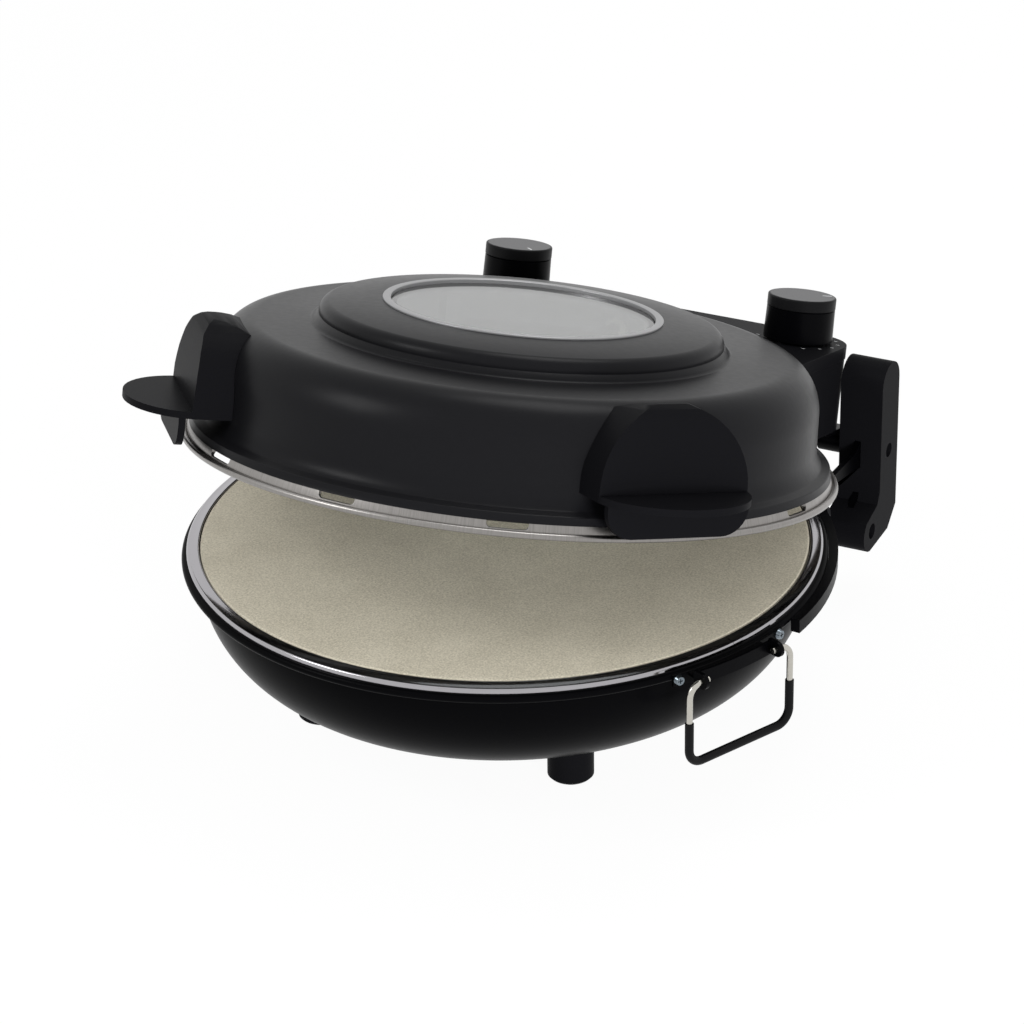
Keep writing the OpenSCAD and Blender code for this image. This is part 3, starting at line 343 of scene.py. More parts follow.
# The knobs are moulded smooth and are as black as the gloss allows.
KNOB_PLASTIC = Finish(
    "smooth black ABS", "knob_black", "#020203", 0.0, 0.3, Pattern.MOULDED, 1.2, 0.006, "#040405",
    uneven=0.04, specular=0.04,
)
# The knobs' caps are nearly as black, a little duller.
CAP_PLASTIC = Finish(
    "satin black ABS", "cap_black", "#0c0c0d", 0.0, 0.4, Pattern.MOULDED, 0.9, 0.01, "#101011",
    uneven=0.05, specular=0.08,
)
# A thin grey disc on each cap's top is painted sheen: the black cap's top is drawn lighter, as light falls
# on it from above.
CAP_TOP_PAINTED_SHEEN = Finish(
    "grey satin inlay", "", "#555556", 0.0, 0.5, Pattern.MOULDED, 0.9, 0.01, "#5d5d5e",
    uneven=0.05, specular=0.25,
)
# Heat-resistant sleeving is matt and a little dusty.
SLEEVE_RUBBER = Finish(
    "matt black rubber", "rubber", "#060607", 0.0, 0.5, Pattern.MOULDED, 1.5, 0.03, "#0a0a0b",
    uneven=0.06, specular=0.12,
)
# Zinc plate has a cool, slightly milky shine.
ZINC = Finish(
    "bright zinc plate", "zinc", "#7d868d", 1.0, 0.22, Pattern.POLISHED, 1.2, 0.01, "#5f6a72",
)
# Blackened screws keep a dull metallic edge.
BLACK_SCREW = Finish(
    "blackened steel", "black_screw", "#141416", 0.7, 0.4, Pattern.MOULDED, 0.8, 0.01, "#202022",
)
# Ground pins are bright with fine marks of the stone.
GROUND_STEEL = Finish(
    "ground steel", "pin_steel", "#969899", 1.0, 0.26, Pattern.POLISHED, 2.0, 0.005, "#828486",
)
# Drawn wire with nickel plate is bright, and a little dimpled along its length.
NICKEL_WIRE = Finish(
    "nickel plated wire", "wire_steel", "#c4c1b9", 1.0, 0.2, Pattern.POLISHED, 2.2, 0.03, "#8d8a83",
)
# The pane is flat and shows the lid's inside; its grey tint is painted shade, darkening all that shows
# through it.
WINDOW_GLASS = Finish(
    "tempered glass", "glass", "#a9adac", 0.0, 0.03, Pattern.POLISHED, 60.0, 0.0005, "#a5a9a8",
    uneven=0.01, transmission=1.0, ior=1.52,
)
# The window's gasket shows only as a black line round the pane.
SILICONE = Finish(
    "black silicone rubber", "gasket", "#060607", 0.0, 0.6, Pattern.MOULDED, 1.0, 0.01, "#09090a",
    specular=0.1,
)
# The controls' bodies, hidden in the housing, are a cream moulding.
CONTROL_MOULDING = Finish(
    "cream moulding", "control_body", "#cfc8b8", 0.0, 0.5, Pattern.MOULDED, 0.8, 0.01, "#c4bcab",
)
# The timer's case is drawn aluminium.
TIMER_CASE = Finish(
    "pressed aluminium", "timer_case", "#a9abad", 1.0, 0.35, Pattern.POLISHED, 6.0, 0.01, "#98999b",
)
# Printed marks are a thin, matt white ink.
WHITE_INK = Finish(
    "white screen ink", "", "#d9dadb", 0.0, 0.6, Pattern.MOULDED, 0.4, 0.005, "#c8c9ca",
)
# The finish of each material slot; the pan's copy of the enamel, darkened as painted shade, is given to it
# by name.
FINISHES: dict[str, Finish] = {
    f.slot: f
    for f in (
        LID_ENAMEL, BRACKET_PAINT, RING_STEEL, BAND_STEEL, BEZEL_STEEL, INNER_SHEET, ELEMENT_SHEATH,
        CORDIERITE, STEATITE, PHENOLIC, KNOB_PLASTIC, CAP_PLASTIC, SLEEVE_RUBBER, ZINC, BLACK_SCREW,
        GROUND_STEEL, NICKEL_WIRE, WINDOW_GLASS, SILICONE, CONTROL_MOULDING, TIMER_CASE,
    )
}


# ---------- The frame of the oven ----------


@dataclass
class OvenFrame:
    """Places that every piece shares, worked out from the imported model."""

    record: dict[str, Any]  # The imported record
    nodes: dict[str, Piece]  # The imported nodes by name
    lid_below_stone: float = 3.6  # How far the closed lid's lowest edge lies below the stone's face
    # The materials made so far, by the finish's name.
    materials: dict[str, Material] = field(init=False, default_factory=dict)

    @property
    def stone_top(self) -> float:
        """Height of the stone's face, in metres."""
        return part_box("baking_stone")[1].z

    @property
    def axis(self) -> Vector:
        """The pan's axis, at table height."""
        low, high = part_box("baking_stone")
        return Vector(((low.x + high.x) / 2, (low.y + high.y) / 2, 0.0))

    @property
    def base(self) -> Matrix:
        """Turns a place about the pan's axis into the row's frame."""
        return Matrix.Translation(self.axis)

    @property
    def lid(self) -> Matrix:
        """Turns a place in the closed lid's frame into the row's frame, with the lid open as it rests.

        Returns:
            The matrix into the row's frame.
        """
        joint = next(j for j in self.record["behaviour"]["joints"] if j["name"] == "lid_hinge")
        hinge = Vector(joint["pos_m"])
        opened = Matrix.Rotation(math.radians(joint["range_deg"][0]), 4, "X")
        upright = Vector((self.axis.x, self.axis.y, self.stone_top - self.lid_below_stone * MM))
        return Matrix.Translation(hinge) @ opened @ Matrix.Translation(-hinge) @ Matrix.Translation(upright)

    def material(self, finish: Finish) -> Material:
        """Returns a finish's material, which is made the first time that it is asked for.

        Args:
            finish: The finish. The brushed ones are all on the lid, so their streaks run round it.

        Returns:
            The material.
        """
        if finish.name not in self.materials:
            self.materials[finish.name] = finish.build(self.lid.inverted())
        return self.materials[finish.name]

    def finish_piece(self, piece: Piece, body: str, finish: Finish, *nodes: str) -> Piece:
        """Gives a piece its material, its body and the nodes that it stands for.

        Args:
            piece: The finished piece, in place.
            body: The body that it rides on.
            finish: Its finish.
            *nodes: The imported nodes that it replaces.

        Returns:
            The piece.
        """
        piece.data.materials.clear()
        piece.data.materials.append(self.material(finish))
        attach(piece, body)
        if nodes:
            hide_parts(*nodes)
        LOG.info("%s rides on %s: %d faces", piece.name, body, len(piece.data.polygons))
        return piece


# ---------- Outlines ----------


def ellipse(centre: Point, wide: float, high: float, start: float, end: float, count: int) -> list[Point]:
    """Points along part of an ellipse with its axes along r and z, from one angle to another."""
    angles = [math.radians(start + (end - start) * i / count) for i in range(count + 1)]
    return [(centre[0] + wide * math.cos(a), centre[1] + high * math.sin(a)) for a in angles]


def arc(centre: Point, radius: float, start: float, end: float, count: int) -> list[Point]:
    """Points along an arc, from one angle to another, in degrees."""
    return ellipse(centre, radius, radius, start, end, count)


def left_of(line: Sequence[Point], i: int) -> Point:
    """Finds which way is left of a line at one of its points.

    Args:
        line: The line's points.
        i: The point's place in the line.

    Returns:
        A unit vector.
    """
    ahead, behind = line[min(i + 1, len(line) - 1)], line[max(i - 1, 0)]
    across, up = ahead[0] - behind[0], ahead[1] - behind[1]
    length = math.hypot(across, up)
    return -up / length, across / length


def sheet(line: Sequence[Point], thickness: float) -> list[Point]:
    """Closes a line into a strip with its thickness on the line's left.

    Args:
        line: The line's points.
        thickness: The strip's thickness.

    Returns:
        The line's points and then the strip's other side, backwards.
    """
    inner = []
    for i, (across, up) in enumerate(line):
        left = left_of(line, i)
        inner.append((across + thickness * left[0], up + thickness * left[1]))
    return list(line) + inner[::-1]


# ---------- Meshes ----------


def in_scene(name: str, data: bpy.types.ID) -> bpy.types.Object:
    """Puts a new object in the scene.

    Args:
        name: The object's name.
        data: Its mesh, lamp or camera.

    Returns:
        The object.
    """
    made = bpy.data.objects.new(name, data)
    bpy.context.scene.collection.objects.link(made)
    return made


def shade_smooth(work: Work, shade: Shade) -> None:
    """Shades a mesh smooth, apart from its sharp edges.

    Args:
        work: The mesh.
        shade: The angle past which an edge is sharp.
    """
    for painted_sheen in work.faces:
        painted_sheen.smooth = True
    for edge in work.edges:
        edge.smooth = len(edge.link_faces) == 2 and edge.calc_face_angle() < shade.limit


def as_mesh(name: str, work: Work) -> Mesh:
    """Keeps a finished bmesh, which is freed, as a mesh.

    Args:
        name: The mesh's name.
        work: The finished bmesh.

    Returns:
        The mesh.
    """
    mesh = bpy.data.meshes.new(name)
    work.to_mesh(mesh)
    work.free()
    return mesh


def new_piece(name: str, work: Work, place: Matrix, shade: Shade = Shade.TURNED) -> Piece:
    """Turns a finished bmesh into an object at the origin, with its place in its mesh.

    Args:
        name: The piece's name.
        work: The mesh in millimetres, which is freed.
        place: Turns metres in the piece's own frame into the row's frame.
        shade: The angle past which edges stay sharp.

    Returns:
        The new object.
    """
    weld = 1e-4
    bmesh.ops.remove_doubles(work, verts=work.verts, dist=weld)
    bmesh.ops.recalc_face_normals(work, faces=work.faces)
    shade_smooth(work, shade)
    mesh = as_mesh(name, work)
    mesh.transform(place @ Matrix.Scale(MM, 4))
    return in_scene(name, mesh)


def revolve(outline: Sequence[Point], steps: int, seam: Point | None = None) -> Work:
    """Spins a closed outline of radius and height round the Z axis.

    Args:
        outline: The closed outline, in millimetres.
        steps: Steps round the turn.
        seam: Where a gap is left in the turn: its angle from the front and its width, in degrees.

    Returns:
        The closed mesh.
    """
    work = bmesh.new()
    start, sweep = (seam[0] + seam[1] / 2, 360 - seam[1]) if seam else (0.0, 360.0)
    rings = []
    for step in range(steps + 1 if seam else steps):
        turn = math.radians(start + sweep * step / steps)
        across, along = math.sin(turn), -math.cos(turn)
        rings.append([work.verts.new((r * across, r * along, z)) for r, z in outline])
    on_axis = [r < 1e-6 for r, _ in outline]
    for step in range(steps):
        here, there = rings[step], rings[(step + 1) % len(rings)]
        for i in range(len(outline)):
            j = (i + 1) % len(outline)
            corners = [here[i], there[i], there[j], here[j]]
            if on_axis[i]:
                corners.remove(there[i])
            if on_axis[j]:
                corners.remove(there[j])
            if len(corners) > 2:
                work.faces.new(corners)
    if seam:
        work.faces.new(rings[0])
        work.faces.new(rings[-1][::-1])
    return work


def add_prism(work: Work, low: Sequence[Vector], high: Sequence[Vector]) -> None:
    """Adds a solid between two outlines with the same number of corners.

    Args:
        work: The mesh that gets the solid.
        low: Corners of one end.
        high: Corners of the other end.
    """
    ends = [[work.verts.new(corner) for corner in corners] for corners in (low, high)]
    work.faces.new(ends[0][::-1])
    work.faces.new(ends[1])
    for i in range(len(low)):
        j = (i + 1) % len(low)
        work.faces.new([ends[0][i], ends[0][j], ends[1][j], ends[1][i]])


def applied(
    name: str, mesh: Mesh, kind: str, inputs: dict[str, Any] | None = None, **settings: Any
) -> Piece:
    """Runs one modifier on a mesh and keeps the result as a plain mesh.

    Args:
        name: The new piece's name.
        mesh: The mesh to start from, in the row's frame.
        kind: The modifier's type name.
        inputs: Value of each input of a Geometry Nodes tree, by its identifier.
        **settings: The modifier's own properties.

    Returns:
        The new piece.
    """
    holder = in_scene(name, mesh)
    modifier = holder.modifiers.new(kind, kind)
    for key, value in settings.items():
        setattr(modifier, key, value)
    for identifier, value in (inputs or {}).items():
        modifier[identifier] = value
    graph = bpy.context.evaluated_depsgraph_get()
    result = bpy.data.meshes.new_from_object(holder.evaluated_get(graph))
    bpy.data.objects.remove(holder)
    return in_scene(name, result)


def eased_copy(node: str, edge: float, name: str, steps: int = 3) -> Piece:
    """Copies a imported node, welds it and rounds its sharp edges.

    Args:
        node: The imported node.
        edge: Radius of the rounded edges, in millimetres, or 0 to leave them as they are.
        name: The new piece's name.
        steps: Steps across a rounded edge.

    Returns:
        The new piece, in the row's frame, with its large flat faces' normals kept.
    """
    weld, flat = 2e-6, math.radians(0.6)
    work = bmesh.new()
    work.from_mesh(bpy.data.objects[node].data)
    bmesh.ops.remove_doubles(work, verts=work.verts, dist=weld)
    bmesh.ops.dissolve_limit(work, angle_limit=flat, verts=work.verts, edges=work.edges)
    bmesh.ops.recalc_face_normals(work, faces=work.faces)
    if edge > 0:
        limit = Shade.PRESSED.limit
        sharp = [e for e in work.edges if len(e.link_faces) == 2 and e.calc_face_angle() > limit]
        bmesh.ops.bevel(
            work, geom=sharp, offset=edge * MM, offset_type="OFFSET", segments=steps, profile=0.5,
            affect="EDGES", clamp_overlap=True,
        )
    shade_smooth(work, Shade.PRESSED)
    return applied(name, as_mesh(name, work), "WEIGHTED_NORMAL", keep_sharp=True)


# ---------- Geometry Nodes ----------


def new_tree(name: str, inputs: dict[str, str]) -> tuple[Tree, Any, dict[str, str]]:
    """Starts a Geometry Nodes tree with named inputs.

    Args:
        name: The tree's name.
        inputs: The socket type of each input, by name.

    Returns:
        The tree, the sockets that give its inputs, and each input's identifier by name.
    """
    tree = bpy.data.node_groups.new(name, "GeometryNodeTree")
    for way in ("INPUT", "OUTPUT"):
        tree.interface.new_socket("Geometry", in_out=way, socket_type="NodeSocketGeometry")
    names = {}
    for label, kind in inputs.items():
        names[label] = tree.interface.new_socket(label, in_out="INPUT", socket_type=kind).identifier
    return tree, add_node(tree, "NodeGroupInput").outputs, names


def end_tree(tree: Tree, geometry: Node, material: Socket) -> None:
    """Ends a tree in real faces that carry a material.

    Args:
        tree: The tree.
        geometry: The node that gives its geometry.
        material: The socket that gives its material.
    """
    real = add_node(tree, "GeometryNodeRealizeInstances", {"Geometry": geometry})
    smooth = add_node(tree, "GeometryNodeSetShadeSmooth", {"Geometry": real})
    dressed = add_node(tree, "GeometryNodeSetMaterial", {"Geometry": smooth, "Material": material})
    add_node(tree, "NodeGroupOutput", {"Geometry": dressed})


def tube_tree() -> tuple[Tree, dict[str, str]]:
    """Makes the tree that sweeps a round tube along a line of edges.

    Returns:
        The tree and each input's identifier by name.
    """
    inputs = {"Tube radius": "NodeSocketFloat", "Sides": "NodeSocketInt", "Finish": "NodeSocketMaterial"}
    tree, given, names = new_tree("Tube along a path", inputs)
    path = add_node(tree, "GeometryNodeMeshToCurve", {"Mesh": given["Geometry"]})
    section = {"Resolution": given["Sides"], "Radius": given["Tube radius"]}
    ring = add_node(tree, "GeometryNodeCurvePrimitiveCircle", section)
    swept = {"Curve": path, "Profile Curve": ring, "Fill Caps": True}
    end_tree(tree, add_node(tree, "GeometryNodeCurveToMesh", swept), given["Finish"])
    return tree, names


def scatter_tree() -> tuple[Tree, dict[str, str]]:
    """Makes the tree that puts one small piece at every point, facing the way that the point says.

    Returns:
        The tree and each input's identifier by name.
    """
    inputs = {"Piece": "NodeSocketObject", "Finish": "NodeSocketMaterial"}
    tree, given, names = new_tree("Piece at every point", inputs)
    facing = add_node(tree, "GeometryNodeInputNamedAttribute", {"Name": "facing"}, data_type="FLOAT_VECTOR")
    turn = add_node(tree, "FunctionNodeAlignRotationToVector", {"Vector": facing}, axis="Z")
    source = add_node(tree, "GeometryNodeObjectInfo", {"Object": given["Piece"]}).outputs["Geometry"]
    spread = {"Points": given["Geometry"], "Instance": source, "Rotation": turn}
    end_tree(tree, add_node(tree, "GeometryNodeInstanceOnPoints", spread), given["Finish"])
    return tree, names


def path_mesh(points: Iterable[Vector], place: Matrix) -> Mesh:
    """Makes a line of edges.

    Args:
        points: Its points, in millimetres.
        place: Turns metres in the line's own frame into the row's frame.

    Returns:
        The mesh, in the row's frame.
    """
    line = [place @ (point * MM) for point in points]
    mesh = bpy.data.meshes.new("path")
    mesh.from_pydata(line, [(i, i + 1) for i in range(len(line) - 1)], [])
    return mesh


def facing_mesh(places: Sequence[Vector], way: Vector) -> Mesh:
    """Makes loose points that each say which way a piece faces there.

    Args:
        places: The points, in the row's frame.
        way: The direction, in the row's frame.

    Returns:
        The mesh with its "facing" attribute.
    """
    mesh = bpy.data.meshes.new("points")
    mesh.from_pydata(places, [], [])
    facing = mesh.attributes.new("facing", "FLOAT_VECTOR", "POINT")
    for i in range(len(places)):
        facing.data[i].vector = way
    return mesh



# ---------- Sub-assemblies ----------


@dataclass
class SubAssembly:
    """What every sub-assembly can do."""

    oven: OvenFrame  # The frame that its pieces fit

    def spin(
        self, name: str, outline: Sequence[Point], place: Matrix, body: str, finish: Finish, *nodes: str,
        steps: int = 256,
    ) -> None:
        """Makes and dresses a turned piece.

        Args:
            name: The piece's name.
            outline: Its closed outline of radius and height.
            place: Turns metres in the piece's own frame into the row's frame.
            body: The body that it rides on.
            finish: Its finish.
            *nodes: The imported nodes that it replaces.
            steps: Steps round the turn.
        """
        piece = new_piece(name, revolve(outline, steps), place)
        self.oven.finish_piece(piece, body, finish, *nodes)

    def ease(self, node: str, edge: float, body: str, finish: Finish) -> None:
        """Rounds the edges of a packed moulding or pressing and dresses it."""
        self.oven.finish_piece(eased_copy(node, edge, f"{node}_moulding"), body, finish, node)


@dataclass
class Pan(SubAssembly):
    """The enamelled pan, its bright trim ring and the stone that lies in it."""

    wall_r: float = 157.0  # Outer radius of the pan's upright wall
    corner_r: float = 57.0  # Radius of the curve from the wall to the floor
    floor_z: float = 21.0  # Height of the pan's floor
    flange_z: float = 84.3  # Height of the flange that carries the ring
    flange_r: float = 1.5  # Radius of the curve from the wall to the flange
    rim_r: float = 165.1  # Radius of the outside of the rolled rim
    roll_r: float = 2.1  # Radius of the roll itself
    steel: float = 1.2  # Thickness of the pressed steel
    ring_in: float = 155.9  # Inner radius of the trim ring
    ring_out: float = 162.5  # Outer radius of the trim ring
    ring_t: float = 0.6  # Thickness of the ring's sheet
    bead_r: float = 1.3  # Radius of the ring's outer bead
    bead_low: float = 2.3  # How far the bead's middle lies below the stone's face
    lip_r: float = 0.8  # Radius of the ring's inner lip
    seam_angle: float = 69.7  # Angle of the ring's seam from the front
    seam_w: float = 0.09  # Width of the seam, in degrees
    stone_r: float = 155.4  # Radius of the stone
    stone_t: float = 10.0  # Thickness of the stone
    stone_ease: float = 1.2  # Radius of its upper edge
    stone_bevel: float = 2.0  # Width of its lower edge

    def build_pan(self) -> None:
        """Makes the pan with its rolled rim."""
        wall_top = self.flange_z - self.steel - self.flange_r
        corner = (self.wall_r - self.corner_r, self.floor_z + self.corner_r)
        outside = [
            (0.0, self.floor_z),
            *arc(corner, self.corner_r, -90, 0, 40),
            *arc((self.wall_r + self.flange_r, wall_top), self.flange_r, 180, 90, 5),
        ]
        start = 180 - math.degrees(math.asin(1 - self.steel / self.roll_r))
        roll = arc((self.rim_r - self.roll_r, self.flange_z - self.roll_r), self.roll_r, start, 450, 24)
        inside = sheet(outside, self.steel)[len(outside) :]
        outline = outside + roll + inside
        # The pan's enamel is darkened as painted shade.
        self.spin("enamelled_pan", outline, self.oven.base, "base", PAN_ENAMEL_WITH_PAINTED_SHADE, "base_pan")

    def build_ring(self) -> None:
        """Makes the trim ring with its bead and its seam."""
        top = self.oven.stone_top / MM
        line = [
            (self.ring_out, self.flange_z),
            *arc((self.ring_out - self.bead_r, top - self.bead_low), self.bead_r, 0, 110, 12),
            (self.ring_in + 2 * self.lip_r, top - 0.05),
            *arc((self.ring_in + self.lip_r, top - 0.7), self.lip_r, 80, 180, 6),
            (self.ring_in, self.flange_z),
        ]
        work = revolve(sheet(line, self.ring_t), 360, (self.seam_angle, self.seam_w))
        piece = new_piece("trim_ring_with_seam", work, self.oven.base, Shade.PRESSED)
        self.oven.finish_piece(piece, "base", RING_STEEL, "trim_ring")

    def build_stone(self) -> None:
        """Makes the stone with its softened edges."""
        top = self.oven.stone_top / MM
        bottom = top - self.stone_t
        outline = [
            (0.0, bottom),
            (self.stone_r - self.stone_bevel, bottom),
            (self.stone_r, bottom + self.stone_bevel),
            *arc((self.stone_r - self.stone_ease, top - self.stone_ease), self.stone_ease, 0, 90, 8),
            (0.0, top),
        ]
        self.spin("cordierite_stone", outline, self.oven.base, "stone", CORDIERITE, "baking_stone")

    def build(self) -> None:
        """Makes the pan, its ring and its stone."""
        self.build_pan()
        self.build_ring()
        self.build_stone()


@dataclass
class LidShell(SubAssembly):
    """The domed lid with its raised step, and its inner liner."""

    wall_r: float = 154.3  # Radius of the wall where its foot starts to sweep out
    lean: float = 0.7  # How far the wall leans in up to the shoulder
    foot_out: float = 5.4  # Reach of the foot's sweep
    foot_up: float = 10.4  # Height of the foot's sweep
    foot_z: float = 22.0  # Height where the foot starts to sweep out
    shoulder_in: float = 20.0  # Reach of the rounded shoulder, inwards
    shoulder_h: float = 25.0  # Height of the rounded shoulder
    top_h: float = 62.0  # Height of the shoulder's top
    step_r: float = 104.7  # Radius at the foot of the raised step
    step_up: float = 0.7  # How far the step's foot lies above the shoulder's top
    step_foot: float = 2.6  # Radius of the hollow at the step's foot
    step_edge: float = 6.2  # Radius of the step's upper edge
    land_h: float = 76.2  # Height of the land under the window's surround
    land_w: float = 4.5  # Width of the land
    neck_r: float = 68.1  # Radius of the hole for the window
    edge_r: float = 163.1  # Radius of the shell's lower edge
    edge_h: float = 6.9  # Height of the shell's lower edge
    steel: float = 1.2  # Thickness of the pressed steel

    def outline(self) -> list[Point]:
        """The shell's outside, from its lower edge up to the window.

        Returns:
            Points of radius and height.
        """
        shoulder = (self.wall_r - self.lean - self.shoulder_in, self.top_h - self.shoulder_h)
        step_z = self.top_h + self.step_up
        return [
            (self.edge_r, self.edge_h),
            (self.edge_r - 0.5, self.edge_h + 1.2),
            *arc((self.wall_r + 6.3, 9.1), 2.2, 40, 62, 3),
            *ellipse((self.wall_r + self.foot_out, self.foot_z), self.foot_out, self.foot_up, 250, 180, 14),
            *ellipse(shoulder, self.shoulder_in, self.shoulder_h, 0, 90, 36),
            *arc((self.step_r + self.step_foot, step_z + self.step_foot), self.step_foot, 268, 200, 6),
            *arc((self.step_r - 8.4, step_z + 4.6), self.step_edge, -8, 78, 14),
            (self.neck_r + self.land_w, self.land_h),
            (self.neck_r, self.land_h),
        ]

    def build(self) -> None:
        """Makes the enamelled shell and dresses the liner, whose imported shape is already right."""
        strip = sheet(self.outline(), self.steel)
        self.spin("enamelled_lid", strip, self.oven.lid, "lid", LID_ENAMEL, "lid_shell")
        liner = eased_copy("lid_liner", 0.0, "inner_liner")
        self.oven.finish_piece(liner, "lid", INNER_SHEET, "lid_liner")


@dataclass
class LidBand(SubAssembly):
    """The bright band round the lid's foot, with its vent slots and its bead."""

    outer_r: float = 164.0  # Outer radius of the band's upright face
    sheet_t: float = 0.9  # Thickness of the sheet
    bead_r: float = 1.7  # Radius of the bead along the lower edge
    neck_h: float = 3.0  # Height where the face starts to lean in
    edge_h: float = 6.6  # Height where the face goes under the shell's edge
    slots: int = 12  # Number of slots
    slot_w: float = 20.0  # Width of a slot
    slot_low: float = 3.7  # Height of a slot's lower edge
    slot_top: float = 8.4  # Height of a slot's upper edge, under the shell
    slot_out: float = 4.0  # How far in front of the face a slot's plug starts
    slot_in: float = 8.0  # How far behind the face it ends
    corner_r: float = 2.0  # Radius of a slot's lower corners
    first: float = -4.5  # Angle of the first slot from the front

    def outline(self) -> list[Point]:
        """The band's cross-section with its bead, as one closed line.

        Returns:
            Points of radius and height.
        """
        painted_sheen, inner = self.outer_r, self.outer_r - self.sheet_t
        return [
            (inner, 0.6),
            (painted_sheen - 0.1, 0.4),
            *arc((painted_sheen + self.bead_r - 0.1, self.bead_r), self.bead_r, -150, 155, 22),
            (painted_sheen - 0.1, self.neck_h + 0.6),
            (painted_sheen - 1.1, self.edge_h + 0.2),
            (painted_sheen - 2.7, self.edge_h + 0.4),
            (painted_sheen - 5.8, 8.6),
            (painted_sheen - 6.1, 7.8),
            (inner - 2.5, self.edge_h - 0.7),
            (inner, self.neck_h),
        ]

    def plugs(self) -> Piece:
        """Makes one plug for every slot.

        Returns:
            The plugs as one object, which is removed after use.
        """
        half, low, r = self.slot_w / 2, self.slot_low, self.corner_r
        shape = [
            *arc((half - r, low + r), r, -90, 0, 6),
            (half, self.slot_top),
            (-half, self.slot_top),
            *arc((r - half, low + r), r, 180, 270, 6),
        ]
        reaches = (-self.slot_out - self.outer_r, self.slot_in - self.outer_r)
        work = bmesh.new()
        for i in range(self.slots):
            turn = Matrix.Rotation(math.radians(self.first + 360 * i / self.slots), 4, "Z")
            add_prism(work, *([turn @ Vector((x, reach, z)) for x, z in shape] for reach in reaches))
        return new_piece("slot_plugs", work, self.oven.lid)

    def build(self) -> None:
        """Makes the band and cuts its slots."""
        whole = new_piece("band_blank", revolve(self.outline(), 540), self.oven.lid)
        plugs = self.plugs()
        cut = {"operation": "DIFFERENCE", "solver": "EXACT", "object": plugs}
        band = applied("brushed_band", whole.data, "BOOLEAN", **cut)
        for spare in (whole, plugs):
            bpy.data.objects.remove(spare)
        work = bmesh.new()
        work.from_mesh(band.data)
        shade_smooth(work, Shade.TURNED)
        work.to_mesh(band.data)
        work.free()
        self.oven.finish_piece(band, "lid", BAND_STEEL, "lid_band")


@dataclass
class Window(SubAssembly):
    """The round window in the lid."""

    outer_r: float = 71.0  # Outer radius of the surround
    face_w: float = 4.1  # Width of the surround's bright face
    face_t: float = 1.0  # Thickness of the face
    neck_w: float = 3.0  # How far the surround's neck lies inside its outer edge
    round_r: float = 0.45  # Radius of the face's two edges
    top_h: float = 77.2  # Height of the surround's face
    glass_t: float = 4.0  # Thickness of the glass
    sunk: float = 2.0  # How far the glass lies below the surround
    glass_gap: float = 0.2  # Gap between the glass and the surround
    glass_bevel: float = 0.5  # Width of the glass's bevelled edges

    def build(self) -> None:
        """Makes the surround and the glass."""
        inner, neck = self.outer_r - self.face_w, self.outer_r - self.neck_w
        foot, under = self.top_h - self.sunk - self.glass_t - 1, self.top_h - self.face_t
        surround = [
            (inner, foot),
            (neck, foot),
            (neck, under),
            (self.outer_r, under),
            *arc((self.outer_r - self.round_r, self.top_h - self.round_r), self.round_r, 0, 90, 5),
            *arc((inner + self.round_r, self.top_h - self.round_r), self.round_r, 90, 180, 5),
        ]
        self.spin("window_surround", surround, self.oven.lid, "lid", BEZEL_STEEL, "window_bezel")
        top, edge, bevel = self.top_h - self.sunk, inner - self.glass_gap, self.glass_bevel
        pane = [
            (0.0, top - self.glass_t),
            (edge - bevel, top - self.glass_t),
            (edge, top - self.glass_t + bevel),
            (edge, top - bevel),
            (edge - bevel, top),
            (0.0, top),
        ]
        # The pane's grey tint is painted shade.
        self.spin("window_pane", pane, self.oven.lid, "lid", WINDOW_GLASS, "window_glass")


